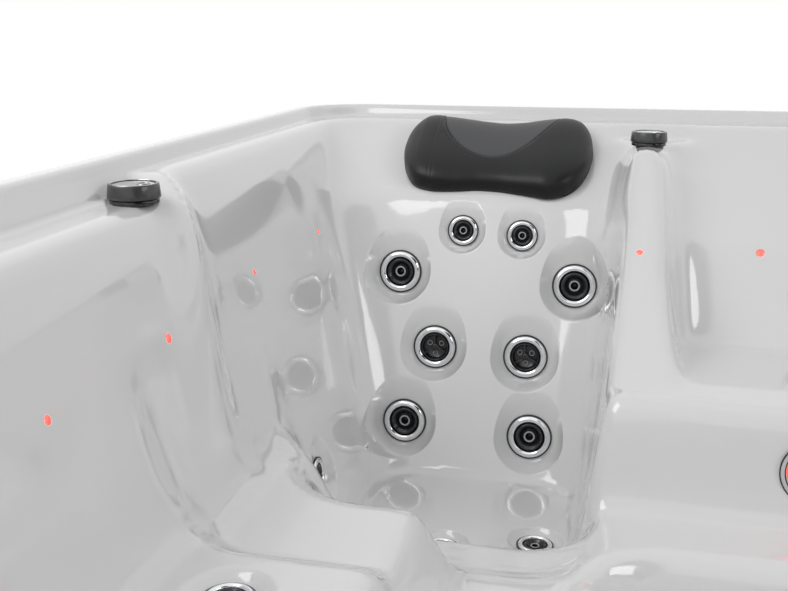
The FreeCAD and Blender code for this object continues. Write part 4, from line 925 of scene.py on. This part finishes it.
def panel_edge(station):
    if station < 0:
        return PANEL_LOW + PANEL_LEFT_RISE * (1 - math.sqrt(max(0.0, 1 - (station / PANEL_LEFT) ** 2)))
    return PANEL_LOW + PANEL_RIGHT_RISE * (station / PANEL_RIGHT) ** 2


def panel_inside(station, along):
    """How far inside the inset panel a point of the skin is, in metres."""
    if station < -PANEL_LEFT * PANEL_END:
        return (station + PANEL_LEFT) * PILLOW_WIDE / 2 - PAST_END
    before, after = (panel_edge(max(station + step, -PANEL_LEFT)) for step in (-SLOPE_STEP, SLOPE_STEP))
    slope = (after - before) / (2 * SLOPE_STEP)
    steep = math.hypot(1, slope * PILLOW_DEEP / (PILLOW_WIDE / 2))
    return (along - panel_edge(station)) * PILLOW_DEEP / steep


CREASE_DEEP = 0.0045
CREASE_WIDE = 0.0014
PANEL_SUNK = 0.0012
PANEL_FADE = 0.0015
FAINT_PLACE = -0.009
FAINT_DEEP = 0.0007
FAINT_WIDE = 0.0012
FAINT_FADE = 4
UNDER_STEPS = 12
END_CROWDING = 0.35
PLAN_ROUND = 0.75
TOP_ROUND = 0.5
ON_TOP = 0.02
ENDS_MEET = 0.00002


def pillow_point(station, turn):
    """A point of the headrest's skin at a station across and a turn round it, with its panel and crease."""
    near, far, thick = smooth_row(station)
    over, side = max(0.0, math.sin(turn)), math.cos(turn)
    along = (near + far) / 2 - (far - near) / 2 * math.copysign(abs(side) ** PLAN_ROUND, side)
    lift = over ** TOP_ROUND * thick * PILLOW_THICK
    panel = crease = 0.0
    if over > ON_TOP:
        inside = panel_inside(station, along)
        crease = math.exp(-(inside / CREASE_WIDE) ** 2)
        panel = min(1.0, max(0.0, inside / PANEL_FADE + 0.5))
        lift -= CREASE_DEEP * crease * over ** TOP_ROUND + PANEL_SUNK * panel
        if station < 0:
            faint = math.exp(-((inside - FAINT_PLACE) / FAINT_WIDE) ** 2)
            lift -= FAINT_DEEP * faint * min(1, -FAINT_FADE * station)
    return (station * PILLOW_WIDE / 2, along * PILLOW_DEEP, max(0.0, lift)), panel, crease


def pillow_skin(across, over_steps, place):
    """The headrest as a closed skin, drawn flat, with Y up its shoulder and Z off it, then put in place."""
    turns = [math.pi * k / over_steps for k in range(over_steps)]
    turns += [math.pi + math.pi * k / UNDER_STEPS for k in range(UNDER_STEPS)]
    bm = bmesh.new()
    panel_layer = bm.verts.layers.float.new("panel")
    # the crease's mask, which later darkens the groove's colour as painted shade
    crease_shade_layer = bm.verts.layers.float.new("crease")
    bmesh.ops.create_grid(bm, x_segments=across, y_segments=len(turns), size=1)
    rows = {}
    for vert in bm.verts:
        rows.setdefault(round((vert.co.x + 1) / 2 * across), []).append(vert)
    for i, row in rows.items():
        even = 2 * i / across - 1
        station = END_CROWDING * -math.cos(math.pi * i / across) + (1 - END_CROWDING) * even
        row.sort(key=lambda vert: vert.co.y)
        for vert, turn in zip(row, turns + turns[:1]):
            vert.co, vert[panel_layer], vert[crease_shade_layer] = pillow_point(station, turn)
    bmesh.ops.remove_doubles(bm, verts=bm.verts, dist=ENDS_MEET)
    bmesh.ops.holes_fill(bm, edges=[edge for edge in bm.edges if edge.is_boundary], sides=0)
    bmesh.ops.transform(bm, matrix=place, verts=bm.verts)
    bmesh.ops.recalc_face_normals(bm, faces=bm.faces)
    return bm


FOAM = material("pillow foam", (0.008, 0.0083, 0.009), 0.42, coat=0.06, grain=900, vary=0.12, bump=0.2,
                bump_distance=0.0003)
set_inputs(FOAM.node_tree.nodes["Principled BSDF"], Specular_IOR_Level=0.3)
shade_by(FOAM, "panel", (0.070, 0.071, 0.075))
# painted shade: the foam's colour is darkened along the crease's groove, where shade falls in it
shade_by(FOAM, "crease", (0.004, 0.004, 0.004))
# The shoulder that it lies on: its foot, and how far it leans back
PILLOW_X = -0.5985 * HALF_SIDE
low, high = shoulder_shares[:2]
SHOULDER_FOOT = Vector((PILLOW_X, low[3] * HALF_SIDE, low[4] * RIM_HEIGHT))
SHOULDER_LEAN = math.atan2((high[4] - low[4]) * RIM_HEIGHT, (high[3] - low[3]) * HALF_SIDE)
PILLOW_RISE = 0.012
PILLOW_OFF = 0.0005
up = Vector((0, math.cos(SHOULDER_LEAN), math.sin(SHOULDER_LEAN)))
out = Vector((0, -math.sin(SHOULDER_LEAN), math.cos(SHOULDER_LEAN)))
pillow_frame = Matrix.Translation(SHOULDER_FOOT + up * PILLOW_RISE + out * PILLOW_OFF) @ Matrix((
    (1, 0, 0, 0), (0, up.y, out.y, 0), (0, up.z, out.z, 0), (0, 0, 0, 1)))
skin = pillow_skin(across=230, over_steps=130, place=pillow_frame)
pillow = add_object("headrest_skin", skin, FOAM, "tub")
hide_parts("headrest_pillow")
for number, (right, front) in enumerate(BUCKET_CORNERS[1:]):
    flip = Matrix.Diagonal((-1 if right else 1, -1 if front else 1, 1, 1))
    skin = pillow_skin(across=120, over_steps=70, place=flip @ pillow_frame)
    copy = add_object(f"headrest_skin_{number + 2}", skin, FOAM, "tub")
    if number == 0:
        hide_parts("other_pillows")


# The shell's back: glass fibre and resin sprayed behind the acrylic, a coarse skin one wall's thickness away.
# It is left open round the jets and the filter's bay, where the moulded bodies fill the space.
BACK_COUNT = 120
BACK_ROUNDS = 140
WALL = 0.008
BAY_CLEAR = 0.06
JET_CLEAR = 3.1
back_bm = laid_sheet(BACK_COUNT, BACK_ROUNDS)
back_bm.normal_update()
for vert, way in [(vert, vert.normal.copy()) for vert in back_bm.verts]:
    vert.co -= way * WALL if way.z > 0 else -way * WALL
bay_low, bay_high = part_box("filter_cartridge")
hidden = []
for face in back_bm.faces:
    middle = face.calc_center_median()
    by_bay = all(low - BAY_CLEAR < c < high + BAY_CLEAR
                 for low, c, high in zip(bay_low[:2], middle, bay_high[:2]))
    if by_bay or any((middle - at).length < JET_CLEAR * ring_r for at, axis, ring_r in JETS):
        hidden.append(face)
bmesh.ops.delete(back_bm, geom=hidden, context="FACES")
bmesh.ops.reverse_faces(back_bm, faces=back_bm.faces)
RESIN = material("fibre back", (0.5, 0.52, 0.5), 0.55, grain=90, vary=0.25, bump=0.6, bump_distance=0.002)
add_object("shell_back", back_bm, RESIN, "tub")


# The cabinet: composite boards with level grooves and a fine grain along them, and smooth moulded corners,
# held by screws to a timber frame that stands on a moulded base.
def grained(name, colour, roughness, stretch, dark, bump=0.3, bump_distance=0.0006):
    """A finish with grain drawn out along the board: stretch is the noise's scale across X, Y and Z."""
    made = material(name, colour, roughness, grain=1.0, vary=dark, bump=bump, rough_vary=0.08,
                    bump_distance=bump_distance)
    tree = made.node_tree
    noise = next(node for node in tree.nodes if node.type == "TEX_NOISE")
    place = add_node(tree, "TexCoord", "Object")
    drawn_out = add_node(tree, "Mapping", "Vector", Vector=place, Scale=stretch)
    set_inputs(noise, Vector=drawn_out, Detail=8, Distortion=0.6)
    return made


BOARD = grained("cabinet board", (0.085, 0.088, 0.092), 0.5, (3.0, 3.0, 140.0), 0.45)
dressed(BOARD, "left_cabinet_panel", "right_cabinet_panel", "rear_cabinet_panel", "service_panel")
dressed(material("cabinet corner", (0.05, 0.052, 0.055), 0.42, grain=420, vary=0.12, bump=0.25),
        "cabinet_corners")
dressed(material("screw steel", (0.55, 0.55, 0.56), 0.3, metallic=1.0, grain=900, vary=0.1, bump=0.05),
        "panel_screws")
dressed(grained("sawn timber posts", (0.42, 0.29, 0.16), 0.75, (45.0, 45.0, 3.0), 0.3), "frame_posts")
dressed(grained("sawn timber rails", (0.44, 0.31, 0.17), 0.75, (4.0, 4.0, 60.0), 0.3), "frame_rails")
dressed(material("base plastic", (0.022, 0.022, 0.023), 0.6, grain=260, vary=0.2, bump=0.5), "base_pan")


# The filter: a white acrylic lid on a black plastic hinge in the deck, over a pleated paper cartridge that
# turns in its bay.
dressed(material("lid acrylic", (0.6, 0.61, 0.63), 0.2, coat=0.7, grain=12, vary=0.03), "filter_lid")
dressed(material("hinge black", (0.02, 0.02, 0.021), 0.4, grain=500, vary=0.15, bump=0.1), "lid_hinge")
dressed(grained("filter paper", (0.7, 0.74, 0.78), 0.85, (260.0, 260.0, 30.0), 0.1, 0.4, 0.0004),
        "filter_cartridge")


# The control panel: a satin black moulded body let into the right ledge, with three sprung grey buttons of
# silicone rubber.
dressed(material("panel black", (0.018, 0.018, 0.02), 0.32, coat=0.3, grain=350, vary=0.15, bump=0.06),
        "topside_panel")
for button, shade in (("pump_button", 0.13), ("light_button", 0.16), ("heat_button", 0.1)):
    dressed(material(button.replace("_", " "), (shade, shade, shade * 1.05), 0.38, grain=500, vary=0.1,
                     bump=0.12), button)


# Fittings in the well: slotted suction covers, the floor drain and the light's housing, all moulded in black
# plastic and screwed in, and the white pegs pressed into the shell under the headrests.
dressed(material("suction cover plastic", (0.02, 0.02, 0.022), 0.35, coat=0.2, grain=300, vary=0.2, bump=0.1),
        "suction_covers")
dressed(material("floor drain plastic", (0.03, 0.03, 0.032), 0.4, grain=300, vary=0.2, bump=0.1),
        "floor_drain_cover")
dressed(material("peg plastic", (0.6, 0.6, 0.6), 0.35, grain=300, vary=0.06, bump=0.05), "pillow_pegs")
dressed(material("lamp housing plastic", (0.02, 0.02, 0.022), 0.35, grain=300, vary=0.2, bump=0.1),
        "main_light_housing")


# Behind the shell: moulded jet bodies with their nuts, and air valves, all clamped through the acrylic, and
# the white pipes glued between them.
for node, name, colour, roughness, bump in (
        ("jet_bodies", "jet body plastic", (0.035, 0.036, 0.038), 0.45, 0.15),
        ("jet_nuts", "jet nut plastic", (0.05, 0.05, 0.053), 0.5, 0.2),
        ("air_valve_bodies", "air valve plastic", (0.05, 0.052, 0.055), 0.45, 0.15)):
    dressed(material(name, colour, roughness, grain=240, vary=0.2, bump=bump), node)
dressed(material("pipe plastic", (0.66, 0.66, 0.64), 0.3, coat=0.2, grain=40, vary=0.04, bump=0.03),
        "water_pipes")


# The equipment, bolted to the base: the pump with its painted motor, the steel heater and the painted control
# box, with the cable gland and the drain's valve and cap in the cabinet's foot.
for node, name, colour, roughness, grain, vary, bump in (
        ("pump_volute", "pump housing plastic", (0.025, 0.026, 0.028), 0.5, 200, 0.2, 0.3),
        ("pump_feet", "pump foot paint", (0.03, 0.03, 0.032), 0.5, 500, 0.12, 0.2),
        ("pump_rotor", "rotor plastic", (0.3, 0.3, 0.28), 0.45, 260, 0.12, 0.15),
        ("control_box", "control box paint", (0.12, 0.13, 0.14), 0.5, 700, 0.1, 0.35),
        ("power_gland", "gland plastic", (0.022, 0.022, 0.023), 0.45, 300, 0.15, 0.15),
        ("drain_valve", "drain valve plastic", (0.025, 0.025, 0.026), 0.45, 300, 0.15, 0.15),
        ("drain_cap", "drain cap plastic", (0.03, 0.03, 0.031), 0.5, 300, 0.15, 0.2)):
    dressed(material(name, colour, roughness, grain=grain, vary=vary, bump=bump), node)
dressed(material("motor paint", (0.02, 0.05, 0.12), 0.35, coat=0.3, grain=500, vary=0.1, bump=0.2),
        "pump_motor")
HEATER_STEEL = grained("heater steel", (0.6, 0.6, 0.61), 0.28, (3.0, 260.0, 260.0), 0.06, 0.1, 0.0002)
set_inputs(HEATER_STEEL.node_tree.nodes["Principled BSDF"], Metallic=1.0)
dressed(HEATER_STEEL, "heater_tube")


# The camera, as in the photograph: above the front rim, looking down into the rear left seat.
camera = bpy.data.objects.new("camera", bpy.data.cameras.new("camera"))
bpy.context.scene.collection.objects.link(camera)
bpy.context.scene.camera = camera
camera.data.lens = 45.69
camera.data.sensor_width = 36
camera.data.clip_start = 0.02
camera.location = (-0.41, -1.08, 1.07)
camera.rotation_euler = (math.radians(90 - 15.2), 0, math.radians(13))
bpy.context.scene.view_settings.view_transform = "Standard"


# The light: a bright studio with two large soft boxes. Dull surfaces see a room that is darker below, shiny
# ones mirror plain white with one dark card, and the camera itself sees plain white behind the tub.
ROOM_STRENGTH = 0.53
ROOM_STOPS = ((0.35, (0.14, 0.14, 0.14)), (0.75, (0.9, 0.9, 0.9)))
CARD_WAY = Vector((0.75, -0.5, 0.42)).normalized()
CARD_EDGE = 0.80
CARD_CORE = 0.88
CARD_SHADE = 0.03
WHITE = (1, 1, 1, 1)


def soft_box(name, place, aim, size, power):
    lamp = bpy.data.lights.new(name, "AREA")
    lamp.shape = "RECTANGLE"
    lamp.size, lamp.size_y = size
    lamp.energy = power
    box = bpy.data.objects.new(name, lamp)
    bpy.context.scene.collection.objects.link(box)
    box.location = place
    box.rotation_mode = "QUATERNION"
    box.rotation_quaternion = (Vector(aim) - Vector(place)).to_track_quat("-Z", "Y")


soft_box("key", (2.2, -0.7, 2.1), (-0.9, 0.2, 0.6), (1.6, 1.0), 20)
soft_box("fill", (-2.0, -0.8, 2.4), (-0.6, 0.3, 0.6), (1.6, 1.6), 24)
world = bpy.data.worlds.new("studio")
bpy.context.scene.world = world
world.use_nodes = True
tree = world.node_tree
way = add_node(tree, "TexCoord", "Generated")
rise = add_node(tree, "MapRange", "Result", Value=add_node(tree, "SeparateXYZ", "Z", Vector=way), From_Min=-1)
fade = add_node(tree, "ValToRGB", "Color", Fac=rise)
set_stops(fade, *ROOM_STOPS)
room = tree.nodes["Background"]
set_inputs(room, Color=fade, Strength=ROOM_STRENGTH)
towards = add_node(tree, "VectorMath", "Value", way, CARD_WAY, operation="DOT_PRODUCT")
card = add_node(tree, "MapRange", "Result", Value=towards, From_Min=CARD_EDGE, From_Max=CARD_CORE, To_Min=1.0,
                To_Max=CARD_SHADE)
mirrored = add_node(tree, "Background", "Background", Color=WHITE, Strength=card)
rays = add_node(tree, "LightPath", "Is Camera Ray").node.outputs
clear = add_node(tree, "Math", "Value", rays["Is Glossy Ray"], rays["Is Transmission Ray"],
                 operation="MAXIMUM")
around = add_node(tree, "MixShader", "Shader", clear, room.outputs["Background"], mirrored)
plain = add_node(tree, "Background", "Background", Color=WHITE)
seen = add_node(tree, "MixShader", "Shader", rays["Is Camera Ray"], around, plain)
set_inputs(tree.nodes["World Output"], Surface=seen)


# The floor: a pale sheet that takes the tub's shadow, and fades to plain white away from it for the camera.
FLOOR_SIZE = 9
FLOOR_NEAR = 1.5
FLOOR_FAR = 2.6
floor_bm = bmesh.new()
bmesh.ops.create_grid(floor_bm, x_segments=1, y_segments=1, size=FLOOR_SIZE)
floor_finish = material("studio floor", (0.8, 0.8, 0.8), 0.7, vary=0.01)
tree = floor_finish.node_tree
away = add_node(tree, "VectorMath", "Value", add_node(tree, "TexCoord", "Object"), operation="LENGTH")
fade = add_node(tree, "MapRange", "Result", interpolation_type="SMOOTHSTEP", Value=away, From_Min=FLOOR_NEAR,
                From_Max=FLOOR_FAR)
seen = add_node(tree, "Math", "Value", fade, add_node(tree, "LightPath", "Is Camera Ray"),
                operation="MULTIPLY")
faded = add_node(tree, "MixShader", "Shader", seen, tree.nodes["Principled BSDF"].outputs["BSDF"],
                 add_node(tree, "Emission", "Emission"))
set_inputs(tree.nodes["Material Output"], Surface=faded)
floor_mesh = finish_mesh(floor_bm, "floor")
floor_mesh.materials.append(floor_finish)
floor = bpy.data.objects.new("floor", floor_mesh)
bpy.context.scene.collection.objects.link(floor)
floor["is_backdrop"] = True

low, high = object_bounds()
